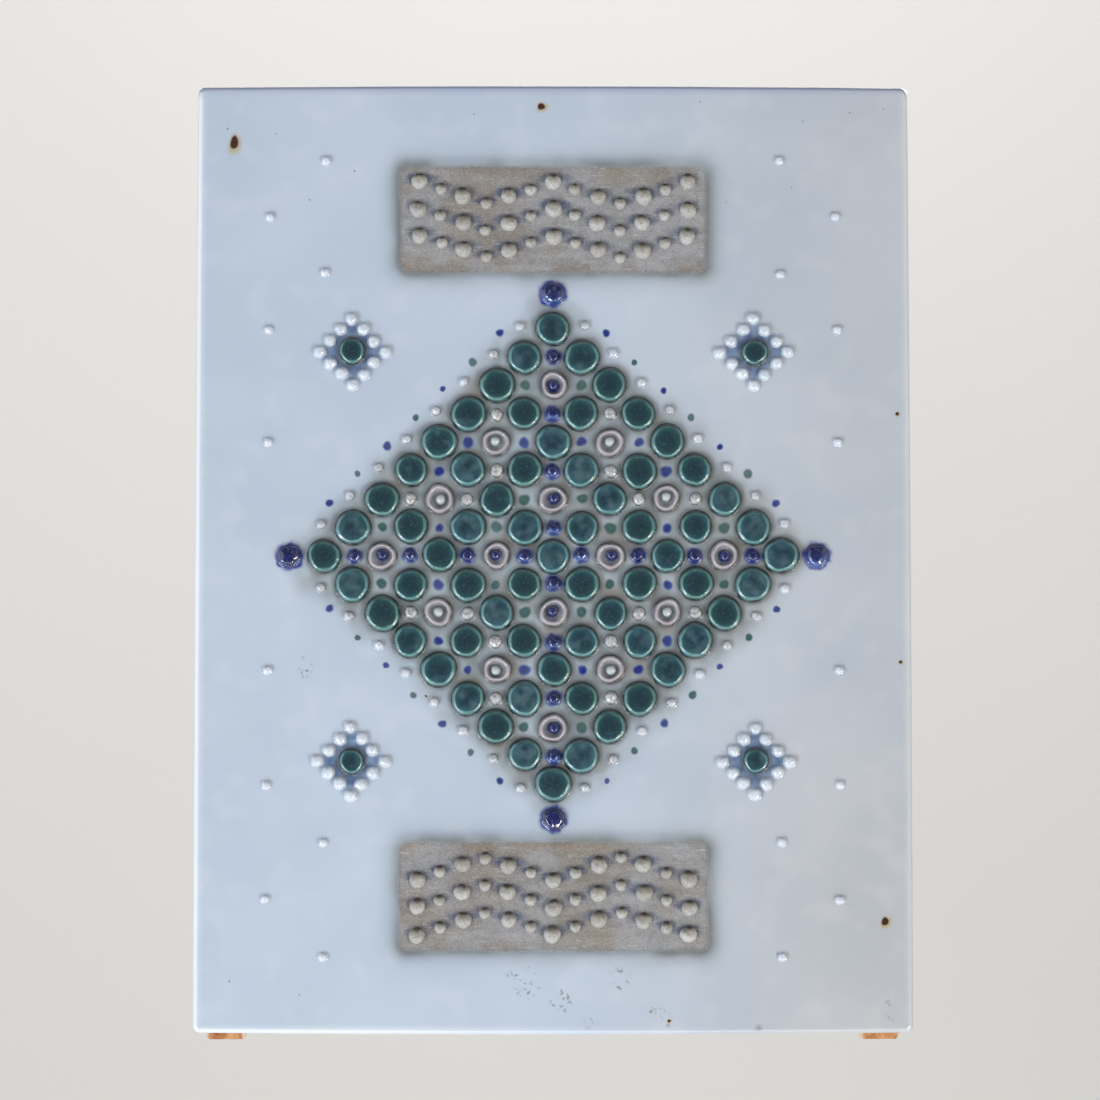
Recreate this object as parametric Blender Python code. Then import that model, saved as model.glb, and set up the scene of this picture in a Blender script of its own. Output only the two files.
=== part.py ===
"""Porcelain wall plaque: one fired slab with an applied relief of glazed buttons and beads.

Metres. +Z is up, +X is to the right as seen from the front, and the front faces -Y.
The origin is the middle of the flat back, where the plaque meets the wall.
The relief is a lozenge of buttons between two unglazed bars of beads, laid out from the
sizes below, so that it gains or loses copies when the slab or a button changes.
"""
import math

import bmesh
import bpy

# Slab
SLAB_WIDTH = 0.302
SLAB_HEIGHT = 0.400
SLAB_THICKNESS = 0.014
CORNER_RADIUS = 0.0032        # of the outline, seen from the front
FRONT_EDGE_RADIUS = 0.0025
BACK_EDGE_RADIUS = 0.0010
SIDE_BOW = 0.0003             # how far the middle of the left and right edges swells
END_BOW = 0.0008              # the same for the top and bottom edges

# Feet under the bottom edge, flush with the back
FOOT_WIDTH = 0.0172
FOOT_DROP = 0.0030            # how far a foot stands out below the slab
FOOT_DEPTH = 0.0070
FOOT_INSET = 0.0050           # from the slab's side to the foot's outer end
FOOT_ROOT = 0.0040            # how far the foot runs up into the slab
FOOT_CORNER = 0.0022          # how far its rounded ends reach in

# Blind slot in the back for a nail or a hook
SLOT_WIDTH = 0.030
SLOT_HEIGHT = 0.010
SLOT_FLOOR = 0.006            # clay left in front of the slot
SLOT_DROP = 0.045             # from the slab's top edge to the middle of the slot

# Lozenge of buttons, on a square lattice turned by 45 degrees
DISC_DIAMETER = 0.0140
DISC_HEIGHT = 0.0034
DISC_GAP = 0.0030             # between neighbouring buttons
DOME_DIAMETER = 0.0115        # ringed buttons with a bead in the middle
DOME_HEIGHT = 0.0042
DROP_DIAMETER = 0.0095        # large drops beyond the lozenge's four tips
DROP_HEIGHT = 0.0036
DROP_GAP = 0.0030
PEARL_DIAMETER = 0.0056       # between the buttons
PEARL_HEIGHT = 0.0030

# Four small lozenges of pearls round a button, in the spandrels
CLUSTER_ROWS = 4
CLUSTER_PITCH = 0.0066
CLUSTER_PEARL_DIAMETER = 0.0049
CLUSTER_PEARL_HEIGHT = 0.0026
CLUSTER_DISC_DIAMETER = 0.0105
CLUSTER_DISC_HEIGHT = 0.0030
CLUSTER_GAP = 0.0010          # least room between that button and a pearl

# Unglazed bars with zigzag rows of beads
BAR_WIDTH = 0.130
BAR_HEIGHT = 0.046
BAR_RIM = 0.0065              # from the bar's edge to the outermost bead centres
BEAD_PITCH = 0.0095
ROW_PITCH = 0.0115
ZIGZAG = 0.0045               # how far a row swings up and down
ZIGZAG_BEADS = 6              # beads in one swing up and down
LARGE_BEAD_DIAMETER = 0.0068
SMALL_BEAD_DIAMETER = 0.0048
BEAD_HEIGHT = 0.0028

# Bare glaze around the relief
SIDE_MARGIN = 0.034
END_MARGIN = 0.034

# How much the maker's hand varies
HAND_SHIFT = 0.0004           # largest sideways step of a piece
HAND_SIZE = 0.05              # largest share that its size is off by

# Meshing
EDGE_POINTS = 4               # points along each straight side of the outline
CORNER_STEPS = 3
EDGE_STEPS = 3                # steps round the front edge's quarter circle
SLOT_STEPS = 6                # steps round each end of the slot
SUNK = 0.0010                 # how deep each piece of the relief is pressed into the slab
OVERCUT = 0.0020              # how far the slot's cutter stands out of the back

# Turned profiles of the relief, from the foot up: (share of radius, share of height).
# The first ring lies under the slab's face.
DISC_PROFILE = ((0.96, None), (1.00, 0.40), (0.85, 1.00))
DISC_DISH = 0.88              # height of the dished middle
DOME_PROFILE = ((1.08, None), (0.76, 0.80), (0.47, 0.42), (0.33, 0.88))
DROP_PROFILE = ((0.98, None), (0.97, 0.35), (0.62, 0.85))
PEARL_PROFILE = ((1.08, None), (0.76, 0.68))
ROUND_TIP = 1.0
DISC_SIDES = 10
DOME_SIDES = 8
PEARL_SIDES = 6
SMALL_SIDES = 5

# Materials: name, colour, roughness. The order is that of the plaque's material slots.
MATERIALS = (
    ("white_glaze", (0.50, 0.60, 0.70), 0.12),
    ("green_glaze", (0.05, 0.17, 0.17), 0.12),
    ("cobalt_glaze", (0.01, 0.02, 0.13), 0.15),
    ("bisque", (0.29, 0.26, 0.24), 0.90),
)
WHITE, GREEN, COBALT, BISQUE = range(len(MATERIALS))

FRONT = -SLAB_THICKNESS
LATTICE_PITCH = DISC_DIAMETER + DISC_GAP
LATTICE_STEP = LATTICE_PITCH / math.sqrt(2.0)
FIELD_X = SLAB_WIDTH / 2 - SIDE_MARGIN
BAR_Z = SLAB_HEIGHT / 2 - END_MARGIN - BAR_HEIGHT / 2
FIELD_Z = BAR_Z - BAR_HEIGHT / 2


def clear_scene():
    for thing in list(bpy.data.objects):
        bpy.data.objects.remove(thing, do_unlink=True)


def wobble(*key):
    """A number from -1 to 1 that is always the same for the same key."""
    weights = (12.9898, 78.233, 37.719, 9.151)
    mixed = sum(weight * (part + 1.0) for weight, part in zip(weights, key))
    return 2.0 * math.modf(abs(math.sin(mixed)) * 43758.5453)[0] - 1.0


def hand_made(x, z, diameter, height, key):
    """One piece of the relief as (x, z, radius, height), a little off, as if set by hand."""
    size = 1.0 + HAND_SIZE * wobble(*key, 3)
    return (x + HAND_SHIFT * wobble(*key, 1), z + HAND_SHIFT * wobble(*key, 2),
            diameter / 2 * size, height * size)


# Layout of the relief

def lozenge_steps():
    """Lattice steps along one side of the lozenge: the most that fit, and an even number."""
    room_x = FIELD_X - DROP_DIAMETER - DROP_GAP
    room_z = FIELD_Z - DROP_DIAMETER - 2 * DROP_GAP
    fitting = (min(room_x, room_z) - DISC_DIAMETER / 2) / LATTICE_STEP
    return max(2 * int(fitting / 2), 0)


def lattice_point(u, v, steps):
    return (u - v) * LATTICE_STEP, (u + v - steps) * LATTICE_STEP


def lozenge_buttons():
    """Plain buttons on every lattice line, and a ringed button in the middle of each mesh."""
    steps = lozenge_steps()
    discs, domes = [], []
    for u in range(steps + 1):
        for v in range(steps + 1):
            x, z = lattice_point(u, v, steps)
            if u % 2 and v % 2:
                domes.append(hand_made(x, z, DOME_DIAMETER, DOME_HEIGHT, (u, v)))
            else:
                discs.append(hand_made(x, z, DISC_DIAMETER, DISC_HEIGHT, (u, v)))
    return discs, domes


def lozenge_pearls():
    """Pearls between the buttons: cobalt along both axes, white in every other ring."""
    steps = lozenge_steps()
    white, cobalt = [], []
    for u in range(steps):
        for v in range(steps):
            x, z = lattice_point(u + 0.5, v + 0.5, steps)
            pearl = hand_made(x, z, PEARL_DIAMETER, PEARL_HEIGHT, (u + 0.5, v + 0.5))
            from_middle = abs(2 * u + 1 - steps), abs(2 * v + 1 - steps)
            if from_middle[0] == from_middle[1]:
                cobalt.append(pearl)
            elif sum(from_middle) // 2 % 2:
                white.append(pearl)
    return white, cobalt


def tip_drops():
    """One large drop beyond each of the lozenge's four tips."""
    reach = lozenge_steps() * LATTICE_STEP + DISC_DIAMETER / 2 + DROP_GAP + DROP_DIAMETER / 2
    places = ((reach, 0.0), (0.0, reach), (-reach, 0.0), (0.0, -reach))
    return [hand_made(x, z, DROP_DIAMETER, DROP_HEIGHT, (k, 40)) for k, (x, z) in enumerate(places)]


def cluster_centre():
    """Middle of the right-hand upper spandrel: between the lozenge's side and the corner."""
    side = (lozenge_steps() * LATTICE_STEP + DISC_DIAMETER / math.sqrt(2.0)) / 2
    return (side + FIELD_X) / 2, (side + FIELD_Z) / 2


def clusters():
    """A button in each spandrel, and a small lozenge of pearls round it, clear of it."""
    step = CLUSTER_PITCH / math.sqrt(2.0)
    clear = CLUSTER_DISC_DIAMETER / 2 + CLUSTER_GAP + CLUSTER_PEARL_DIAMETER / 2
    middle_x, middle_z = cluster_centre()
    discs, pearls = [], []
    for quarter, (side_x, side_z) in enumerate(((1, 1), (-1, 1), (-1, -1), (1, -1))):
        x, z = side_x * middle_x, side_z * middle_z
        discs.append(hand_made(x, z, CLUSTER_DISC_DIAMETER, CLUSTER_DISC_HEIGHT, (quarter, 50)))
        for u in range(CLUSTER_ROWS):
            for v in range(CLUSTER_ROWS):
                across, up = (u - v) * step, (u + v - CLUSTER_ROWS + 1) * step
                if math.hypot(across, up) > clear:
                    pearls.append(hand_made(x + across, z + up, CLUSTER_PEARL_DIAMETER,
                                            CLUSTER_PEARL_HEIGHT, (u, v, 50 + quarter)))
    return discs, pearls


def zigzag(place):
    """Swing of a row, from -1 to 1, at a number of beads from the bar's middle."""
    half = ZIGZAG_BEADS / 2
    return 2.0 * abs(place % ZIGZAG_BEADS - half) / half - 1.0


def bar_beads():
    """Large and small beads by turns, in zigzag rows on both bars."""
    columns = int((BAR_WIDTH - 2 * BAR_RIM) / BEAD_PITCH) + 1
    rows = int((BAR_HEIGHT - 2 * BAR_RIM - 2 * ZIGZAG) / ROW_PITCH) + 1
    large, small = [], []
    for end in (1, -1):
        for row in range(rows):
            for column in range(columns):
                place = abs(column - (columns - 1) / 2)
                x = (column - (columns - 1) / 2) * BEAD_PITCH
                rise = (row - (rows - 1) / 2) * ROW_PITCH + ZIGZAG * zigzag(place)
                z = end * (BAR_Z + rise)
                key = (column, row + 10 * end, 60)
                if int(place) % 2:
                    small.append(hand_made(x, z, SMALL_BEAD_DIAMETER, BEAD_HEIGHT, key))
                else:
                    large.append(hand_made(x, z, LARGE_BEAD_DIAMETER, BEAD_HEIGHT, key))
    return large, small


# Meshes

def loft(bm, rings, tip=None, material=WHITE):
    """A closed body through rings of points, capped at its first ring, with a tip or a cap."""
    loops = [[bm.verts.new(point) for point in ring] for ring in rings]
    count = len(loops[0])
    faces = [bm.faces.new(list(reversed(loops[0])))]
    for low, high in zip(loops, loops[1:]):
        for i in range(count):
            j = (i + 1) % count
            faces.append(bm.faces.new((low[i], low[j], high[j], high[i])))
    if tip is None:
        faces.append(bm.faces.new(loops[-1]))
    else:
        point = bm.verts.new(tip)
        for i in range(count):
            faces.append(bm.faces.new((loops[-1][i], loops[-1][(i + 1) % count], point)))
    for face in faces:
        face.material_index = material


def add_button(bm, piece, profile, sides, tip_share, material):
    """A turned piece standing on the slab's front, with its foot pressed into the slab."""
    x, z, radius, height = piece
    turn = math.pi * wobble(x * 1000.0, z * 1000.0)
    rings = []
    for radius_share, height_share in profile:
        y = FRONT + SUNK if height_share is None else FRONT - height * height_share
        reach = radius * radius_share
        rings.append([(x + reach * math.cos(turn + math.tau * k / sides), y,
                       z + reach * math.sin(turn + math.tau * k / sides)) for k in range(sides)])
    loft(bm, rings, (x, FRONT - height * tip_share, z), material)


def outline(inset):
    """The slab's outline moved in by inset, anticlockwise from the front, with bowed edges."""
    half_x = SLAB_WIDTH / 2 - inset
    half_z = SLAB_HEIGHT / 2 - inset
    radius = max(CORNER_RADIUS - inset, 0.1 * CORNER_RADIUS)
    corners = []
    for quarter, (side_x, side_z) in enumerate(((1, -1), (1, 1), (-1, 1), (-1, -1))):
        start = (quarter - 1) * math.pi / 2
        angles = [start + math.pi / 2 * k / CORNER_STEPS for k in range(CORNER_STEPS + 1)]
        corners.append([(side_x * (half_x - radius) + radius * math.cos(a),
                         side_z * (half_z - radius) + radius * math.sin(a)) for a in angles])
    points = []
    for arc, following in zip(corners, corners[1:] + corners[:1]):
        points += arc
        (x0, z0), (x1, z1) = arc[-1], following[0]
        for k in range(1, EDGE_POINTS + 1):
            share = k / (EDGE_POINTS + 1)
            points.append((x0 + share * (x1 - x0), z0 + share * (z1 - z0)))
    return [bowed(x, z) for x, z in points]


def bowed(x, z):
    """Swells the outline: most in the middle of each edge, and not at all at the corners."""
    across, up = 2 * x / SLAB_WIDTH, 2 * z / SLAB_HEIGHT
    return x + SIDE_BOW * across * (1.0 - up ** 2), z + END_BOW * up * (1.0 - across ** 2)


def ring_at(inset, y):
    return [(x, y, z) for x, z in outline(inset)]


def slab_rings():
    """Rings from the back, round the back edge's chamfer, to the end of the front edge's round."""
    rings = [ring_at(BACK_EDGE_RADIUS, 0.0), ring_at(0.0, -BACK_EDGE_RADIUS)]
    for k in range(EDGE_STEPS + 1):
        angle = math.pi / 2 * k / EDGE_STEPS
        rings.append(ring_at(FRONT_EDGE_RADIUS * (1.0 - math.cos(angle)),
                             FRONT + FRONT_EDGE_RADIUS * (1.0 - math.sin(angle))))
    return rings


def object_from(bm, name, materials):
    mesh = bpy.data.meshes.new(name)
    bm.to_mesh(mesh)
    bm.free()
    for material in materials:
        mesh.materials.append(material)
    thing = bpy.data.objects.new(name, mesh)
    bpy.context.scene.collection.objects.link(thing)
    return thing


def as_guide(thing):
    """Marks a body that is only joined to the slab or cut out of it."""
    thing.hide_render = True
    thing.display_type = "WIRE"
    return thing


def make_slab(materials):
    bm = bmesh.new()
    loft(bm, slab_rings())
    return object_from(bm, "plaque", materials)


def make_relief(materials):
    """All buttons, pearls and beads as one mesh of separate bodies."""
    discs, domes = lozenge_buttons()
    white, cobalt = lozenge_pearls()
    spandrel_discs, spandrel_pearls = clusters()
    large, small = bar_beads()
    groups = (
        (discs + spandrel_discs, DISC_PROFILE, DISC_SIDES, DISC_DISH, GREEN),
        (domes, DOME_PROFILE, DOME_SIDES, ROUND_TIP, WHITE),
        (tip_drops(), DROP_PROFILE, DOME_SIDES, ROUND_TIP, COBALT),
        (white, PEARL_PROFILE, PEARL_SIDES, ROUND_TIP, WHITE),
        (cobalt, PEARL_PROFILE, PEARL_SIDES, ROUND_TIP, COBALT),
        (spandrel_pearls, PEARL_PROFILE, SMALL_SIDES, ROUND_TIP, WHITE),
        (large, PEARL_PROFILE, PEARL_SIDES, ROUND_TIP, BISQUE),
        (small, PEARL_PROFILE, SMALL_SIDES, ROUND_TIP, BISQUE),
    )
    bm = bmesh.new()
    for pieces, profile, sides, tip_share, material in groups:
        for piece in pieces:
            add_button(bm, piece, profile, sides, tip_share, material)
    return as_guide(object_from(bm, "relief", materials))


def foot_outline():
    """The right foot from the front: straight sides in the slab, rounded ends below it."""
    outer = SLAB_WIDTH / 2 - FOOT_INSET
    inner = outer - FOOT_WIDTH
    base = -SLAB_HEIGHT / 2
    points = [(outer, base + FOOT_ROOT), (inner, base + FOOT_ROOT)]
    turns = [math.pi / 2 * k / CORNER_STEPS for k in range(CORNER_STEPS + 1)]
    for angle in turns:
        points.append((inner + FOOT_CORNER * (1.0 - math.cos(angle)), base - FOOT_DROP * math.sin(angle)))
    for angle in reversed(turns):
        points.append((outer - FOOT_CORNER * (1.0 - math.cos(angle)), base - FOOT_DROP * math.sin(angle)))
    return points


def make_feet(materials):
    right = foot_outline()
    left = [(-x, z) for x, z in reversed(right)]
    bm = bmesh.new()
    for points in (right, left):
        loft(bm, [[(x, y, z) for x, z in points] for y in (0.0, -FOOT_DEPTH)], material=BISQUE)
    return as_guide(object_from(bm, "feet", materials))


def make_slot(materials):
    """Cutter for the hanging slot: an oval with round ends, standing out of the back."""
    end = (SLOT_WIDTH - SLOT_HEIGHT) / 2
    middle = SLAB_HEIGHT / 2 - SLOT_DROP
    points = []
    for side, start in ((1, -math.pi / 2), (-1, math.pi / 2)):
        for k in range(SLOT_STEPS + 1):
            angle = start + math.pi * k / SLOT_STEPS
            points.append((side * end + SLOT_HEIGHT / 2 * math.cos(angle),
                           middle + SLOT_HEIGHT / 2 * math.sin(angle)))
    depths = (OVERCUT, SLOT_FLOOR - SLAB_THICKNESS)
    bm = bmesh.new()
    loft(bm, [[(x, y, z) for x, z in points] for y in depths], material=BISQUE)
    return as_guide(object_from(bm, "slot", materials))


def combine(plaque, other, operation):
    modifier = plaque.modifiers.new(other.name, "BOOLEAN")
    modifier.operation = operation
    modifier.solver = "EXACT"
    modifier.object = other
    modifier.material_mode = "TRANSFER"
    modifier.use_self = True


def new_material(name, colour, roughness):
    material = bpy.data.materials.new(name)
    material.use_nodes = True
    shader = material.node_tree.nodes["Principled BSDF"]
    shader.inputs["Base Color"].default_value = (*colour, 1.0)
    shader.inputs["Roughness"].default_value = roughness
    return material


def main():
    clear_scene()
    materials = [new_material(*settings) for settings in MATERIALS]
    plaque = make_slab(materials)
    combine(plaque, make_relief(materials), "UNION")
    combine(plaque, make_feet(materials), "UNION")
    combine(plaque, make_slot(materials), "DIFFERENCE")


main()
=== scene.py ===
"""Looks of the porcelain wall plaque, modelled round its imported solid.

Metres, +Z up. The front faces -Y, and the origin is the middle of the flat back.
The layout of the relief follows the same sizes and rules as the solid's own source.
Colours that change slowly are worked out for each vertex of the meshes, and fine grain
is left to the materials.
"""

from math import cos, hypot, modf, pi, radians, sin, sqrt, tau

import bmesh
import bpy
import numpy as np
from mathutils import Matrix, Vector, noise
from mathutils.geometry import delaunay_2d_cdt


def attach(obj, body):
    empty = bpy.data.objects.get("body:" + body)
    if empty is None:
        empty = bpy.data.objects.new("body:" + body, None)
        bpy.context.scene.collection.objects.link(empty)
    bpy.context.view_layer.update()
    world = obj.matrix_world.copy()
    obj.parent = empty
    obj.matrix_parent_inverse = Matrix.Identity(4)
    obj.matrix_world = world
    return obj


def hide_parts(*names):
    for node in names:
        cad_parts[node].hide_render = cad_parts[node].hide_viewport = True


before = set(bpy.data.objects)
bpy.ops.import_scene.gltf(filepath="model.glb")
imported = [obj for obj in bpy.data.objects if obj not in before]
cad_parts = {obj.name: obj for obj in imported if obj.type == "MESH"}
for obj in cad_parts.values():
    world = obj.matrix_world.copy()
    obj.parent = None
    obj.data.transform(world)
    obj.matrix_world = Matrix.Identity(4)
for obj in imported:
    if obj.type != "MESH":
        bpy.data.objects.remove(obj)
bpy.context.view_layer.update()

# Slab, feet and slot, as in the solid
SLAB_WIDTH = 0.302
SLAB_HEIGHT = 0.400
SLAB_THICKNESS = 0.014
CORNER_RADIUS = 0.0032
FRONT_EDGE_RADIUS = 0.0025
BACK_EDGE_RADIUS = 0.0010
SIDE_BOW = 0.0003
END_BOW = 0.0008
FOOT_WIDTH = 0.0172
FOOT_DROP = 0.0030
FOOT_DEPTH = 0.0070
FOOT_INSET = 0.0050
FOOT_ROOT = 0.0040
FOOT_CORNER = 0.0022
FOOT_BURIED = 0.0010          # how far a foot's root keeps from the slab's back
FOOT_ROUGH = 0.00010          # how uneven its clay is
FOOT_LUMP = 0.003             # and how large the lumps are
SLOT_WIDTH = 0.030
SLOT_HEIGHT = 0.010
SLOT_FLOOR = 0.006
SLOT_DROP = 0.045

# Relief, as in the solid
DISC_DIAMETER = 0.0140
DISC_HEIGHT = 0.0034
DISC_GAP = 0.0030
DOME_DIAMETER = 0.0115
DOME_HEIGHT = 0.0042
DROP_DIAMETER = 0.0095
DROP_HEIGHT = 0.0036
DROP_GAP = 0.0030
PEARL_DIAMETER = 0.0056
PEARL_HEIGHT = 0.0030
CLUSTER_ROWS = 4
CLUSTER_PITCH = 0.0066
CLUSTER_PEARL_DIAMETER = 0.0049
CLUSTER_PEARL_HEIGHT = 0.0026
CLUSTER_DISC_DIAMETER = 0.0105
CLUSTER_DISC_HEIGHT = 0.0030
CLUSTER_GAP = 0.0010
BAR_WIDTH = 0.130
BAR_HEIGHT = 0.046
BAR_RIM = 0.0065
BEAD_PITCH = 0.0095
ROW_PITCH = 0.0115
ZIGZAG = 0.0045
ZIGZAG_BEADS = 6
LARGE_BEAD_DIAMETER = 0.0068
SMALL_BEAD_DIAMETER = 0.0048
BEAD_HEIGHT = 0.0028
SIDE_MARGIN = 0.034
END_MARGIN = 0.034
HAND_SHIFT = 0.0004
HAND_SIZE = 0.05

FRONT = -SLAB_THICKNESS
HALF_WIDTH = SLAB_WIDTH / 2
HALF_HEIGHT = SLAB_HEIGHT / 2
LATTICE_PITCH = DISC_DIAMETER + DISC_GAP
LATTICE_STEP = LATTICE_PITCH / sqrt(2.0)
FIELD_X = HALF_WIDTH - SIDE_MARGIN
BAR_Z = HALF_HEIGHT - END_MARGIN - BAR_HEIGHT / 2
FIELD_Z = BAR_Z - BAR_HEIGHT / 2
ROOM = min(FIELD_X - DROP_DIAMETER - DROP_GAP, FIELD_Z - DROP_DIAMETER - 2 * DROP_GAP)
STEPS = max(2 * int((ROOM - DISC_DIAMETER / 2) / LATTICE_STEP / 2), 0)   # along the lozenge's side
LOZENGE_REACH = STEPS * LATTICE_STEP
LOZENGE_EDGE = LOZENGE_REACH + DISC_DIAMETER / sqrt(2.0)   # |x| + |z| of its sides
CLUSTER_X = (LOZENGE_EDGE / 2 + FIELD_X) / 2
CLUSTER_Z = (LOZENGE_EDGE / 2 + FIELD_Z) / 2
SLOT_END = (SLOT_WIDTH - SLOT_HEIGHT) / 2
SLOT_Z = HALF_HEIGHT - SLOT_DROP

# Finer relief and paint, which the solid leaves out
SEED_DIAMETER = 0.0040        # small pearls along the lozenge's sides and in the margins
SEED_HEIGHT = 0.0021
SEED_OFFSET = 0.62            # from the outer buttons' middles, in lattice pitches
MARGIN_SEED = 0.9             # size of the margins' pearls, as a share of the others
MARGIN_CLEAR = 0.0135         # how far those keep from everything else
DOT_RADIUS = 0.0021           # flat painted dots
OUTER_DOT_RADIUS = 0.0016
OUTER_DOT_OFFSET = 0.86

# Surface of the slab
UNEVEN = 0.00012              # slow swell of the hand-made front
PEEL = 0.000012               # slight ripple of the glaze
BAR_SINK = 0.00035            # the bars lie below the glaze by its thickness
BAR_LIP = 0.00012             # roll of glaze round each bar
BAR_CORNER = 0.004
EDGE_WANDER = 0.00012         # how far the outline wanders inwards
GRID = 0.0020                 # spacing of the front's mesh where nothing is on it
CLOSE_GRID = 0.0009           # in the bars and between the buttons
FINE_GRID = 0.0005            # and where thin stains run
BAR_LINES = (-0.0026, -0.0016, -0.0009, -0.0004, 0.0001, 0.0006, 0.0012, 0.0019, 0.0027)
BAR_BAND = 0.0031             # half width of the band along a bar's edge that those lines fill
CLOSE_BAND = 0.012            # how far the close points reach beyond the lozenge
WIDE_BAND = 0.013             # and where the wide ones begin
DOT_RINGS = (0.4, 0.7, 0.85, 1.0, 1.2, 1.45)   # rings of points round a dot, in its own radii
SPOT_RINGS = (0.4, 0.7, 0.85, 1.0, 1.15, 1.35, 1.6, 1.9, 2.2)
SPECK_RINGS = (0.5, 0.9, 1.3, 2.0)
SUNK = 0.0010                 # how deep each piece of the relief is pressed into the slab
SKIRT_SUNK = 0.00004          # how far the rim of its glaze lies under the front
EDGE_X = 0.1465, 0.1495       # where the painted highlight on the side edges starts and is full
EDGE_Z = 0.1955, 0.1985       # and where the painted highlight and shade of the ends start and are full
SHARP_ANGLE = 50.0            # degrees between faces, from where an edge is shaded sharp
RAMP_END = 1.25               # radii of a button that its colour ramp covers
SLIVER = 1e-14                # twice the area under which a triangle is dropped


def srgb(red, green, blue):
    """Linear colour from the 0 to 255 values that a picture shows."""
    return tuple(((c / 255 + 0.055) / 1.055) ** 2.4 if c > 10 else c / 255 / 12.92
                 for c in (red, green, blue))


def in_metres(rows):
    """Rows whose first four numbers, or as many as there are, were in millimetres."""
    return [(*(size / 1000 for size in row[:4]), *row[4:]) for row in rows]


# Colours of the front
GLAZE = srgb(184, 196, 212)
GLAZE_DEEP = srgb(177, 190, 207)
GLAZE_PALE = srgb(196, 205, 218)
PAINTED_LIGHT_FALLOFF = (0.012, 0.082, 0.148)   # painted light: how much darker the glaze gets to the right, per channel
WASH_LIGHT = srgb(167, 179, 188)
WASH_DARK = srgb(127, 136, 142)
WASH_BROWN = srgb(130, 124, 116)
COBALT_PALE = srgb(106, 134, 168)
COBALT_DARK = srgb(50, 88, 138)
COBALT_BLEED = srgb(16, 42, 138)
PAINT_GREEN = srgb(34, 74, 72)
PAINT_BLUE = srgb(8, 52, 138)
PAINT_NAVY = srgb(2, 22, 104)
PAINT_THIN = srgb(50, 90, 87)
# Darkening round the buttons' feet: partly pooled glaze, partly painted shade
POOL_AND_SHADE_NEAR = srgb(26, 38, 40)
POOL_AND_SHADE_FAR = srgb(96, 92, 84)
IRON_CORE = srgb(58, 24, 12)
IRON_HALO = srgb(176, 158, 112)
STAIN = srgb(116, 112, 96)
SPECK = srgb(104, 106, 106)
CLAY = srgb(146, 146, 149)
CLAY_BROWN = srgb(133, 126, 119)
CLAY_RUST = srgb(128, 111, 96)
CLAY_BLUE = srgb(74, 86, 112)
# Darker band where the glaze meets the bare bars: partly the glaze's roll, partly painted shade
BAR_ROLL_AND_SHADE = srgb(104, 110, 110)
BACK_CLAY = srgb(206, 194, 176)
BACK_TOASTED = srgb(178, 134, 94)
EDGE_TOASTED = srgb(196, 172, 138)
EDGE_PAINTED_HIGHLIGHT = srgb(234, 238, 242)      # painted highlight on the front's rounded edges
EDGE_PAINTED_SHADE = srgb(152, 160, 195)       # painted shade along the top edge

# Spots in the glaze, in millimetres from the slab's middle: x, z, half width, half height, tilt
IRON_SPOTS = in_metres((
    (-135.4, 175.9, 1.8, 3.1, -0.12), (-5.0, 191.5, 1.7, 1.5, 0.0), (145.6, 60.3, 0.8, 0.8, 0.0),
    (139.2, -153.5, 1.6, 1.9, -0.3), (146.4, -44.7, 0.8, 0.7, 0.0), (48.5, -194.9, 0.8, 0.6, 0.4),
    (-53.5, -59.1, 0.6, 0.4, -0.7),
))
# Grey specks, in millimetres: x, z, radius
GREY_SPECKS = in_metres((
    (-84.3, 163.7, 0.5), (-138.3, 181.8, 0.5), (-117.6, 179.7, 0.35), (-33.7, 188.1, 0.4),
    (-103.3, 151.4, 0.45), (62.5, 193.6, 0.4), (126.2, 189.0, 0.45), (140.5, 190.7, 0.35),
    (106.3, 185.2, 0.4), (101.3, 156.9, 0.4), (73.4, 150.6, 0.35), (-135.4, -178.4, 0.5),
    (-106.2, -183.9, 0.4), (94.1, -167.0, 0.45),
))
# Patches of grubby specks, in millimetres: x, z, radius
STAINS = in_metres((
    (-13.0, -179.0, 9.0), (3.5, -186.5, 6.0), (27.0, -178.0, 6.5), (44.0, -193.0, 8.0),
    (143.0, -190.0, 6.0), (-106.0, -47.0, 6.0), (6.0, -196.5, 2.5), (14.5, -196.5, 3.5),
    (85.3, -197.0, 2.5),
))


def wobble(*key):
    """A number from -1 to 1 that is always the same for the same key."""
    weights = (12.9898, 78.233, 37.719, 9.151)
    mixed = sum(weight * (part + 1.0) for weight, part in zip(weights, key))
    return 2.0 * modf(abs(sin(mixed)) * 43758.5453)[0] - 1.0


def by_place(x, z, *more):
    """Like wobble, for a place in metres."""
    return wobble(x * 1000.0, z * 1000.0, *more)


def smooth(low, high, value):
    """0 below low, 1 above high and an S-curve between, for numbers and arrays."""
    share = np.clip((value - low) / (high - low), 0.0, 1.0)
    return share * share * (3.0 - 2.0 * share)


def clouds(xs, zs, size, layer, octaves=1):
    """Smooth noise from about -1 to 1, with blots of the given size; each layer has its own."""
    return np.array([noise.fractal((x / size, z / size, 7.3 * layer), 1.0, 2.0, octaves)
                     for x, z in zip(xs, zs)])


def blend(share, first, second):
    """Colours between first and second, for an array of shares."""
    first, second = np.asarray(first), np.asarray(second)
    return first + np.asarray(share)[:, None] * (second - first)


# Layout of the relief: every piece is (x, z, radius, height)

def hand_made(x, z, diameter, height, key):
    """A piece a little off its place and size, always in the same way for the same key."""
    size = 1.0 + HAND_SIZE * wobble(*key, 3)
    return (x + HAND_SHIFT * wobble(*key, 1), z + HAND_SHIFT * wobble(*key, 2),
            diameter / 2 * size, height * size)


def lattice_point(u, v):
    """The place u and v steps along the lozenge's sides from its lowest tip."""
    return (u - v) * LATTICE_STEP, (u + v - STEPS) * LATTICE_STEP


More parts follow.
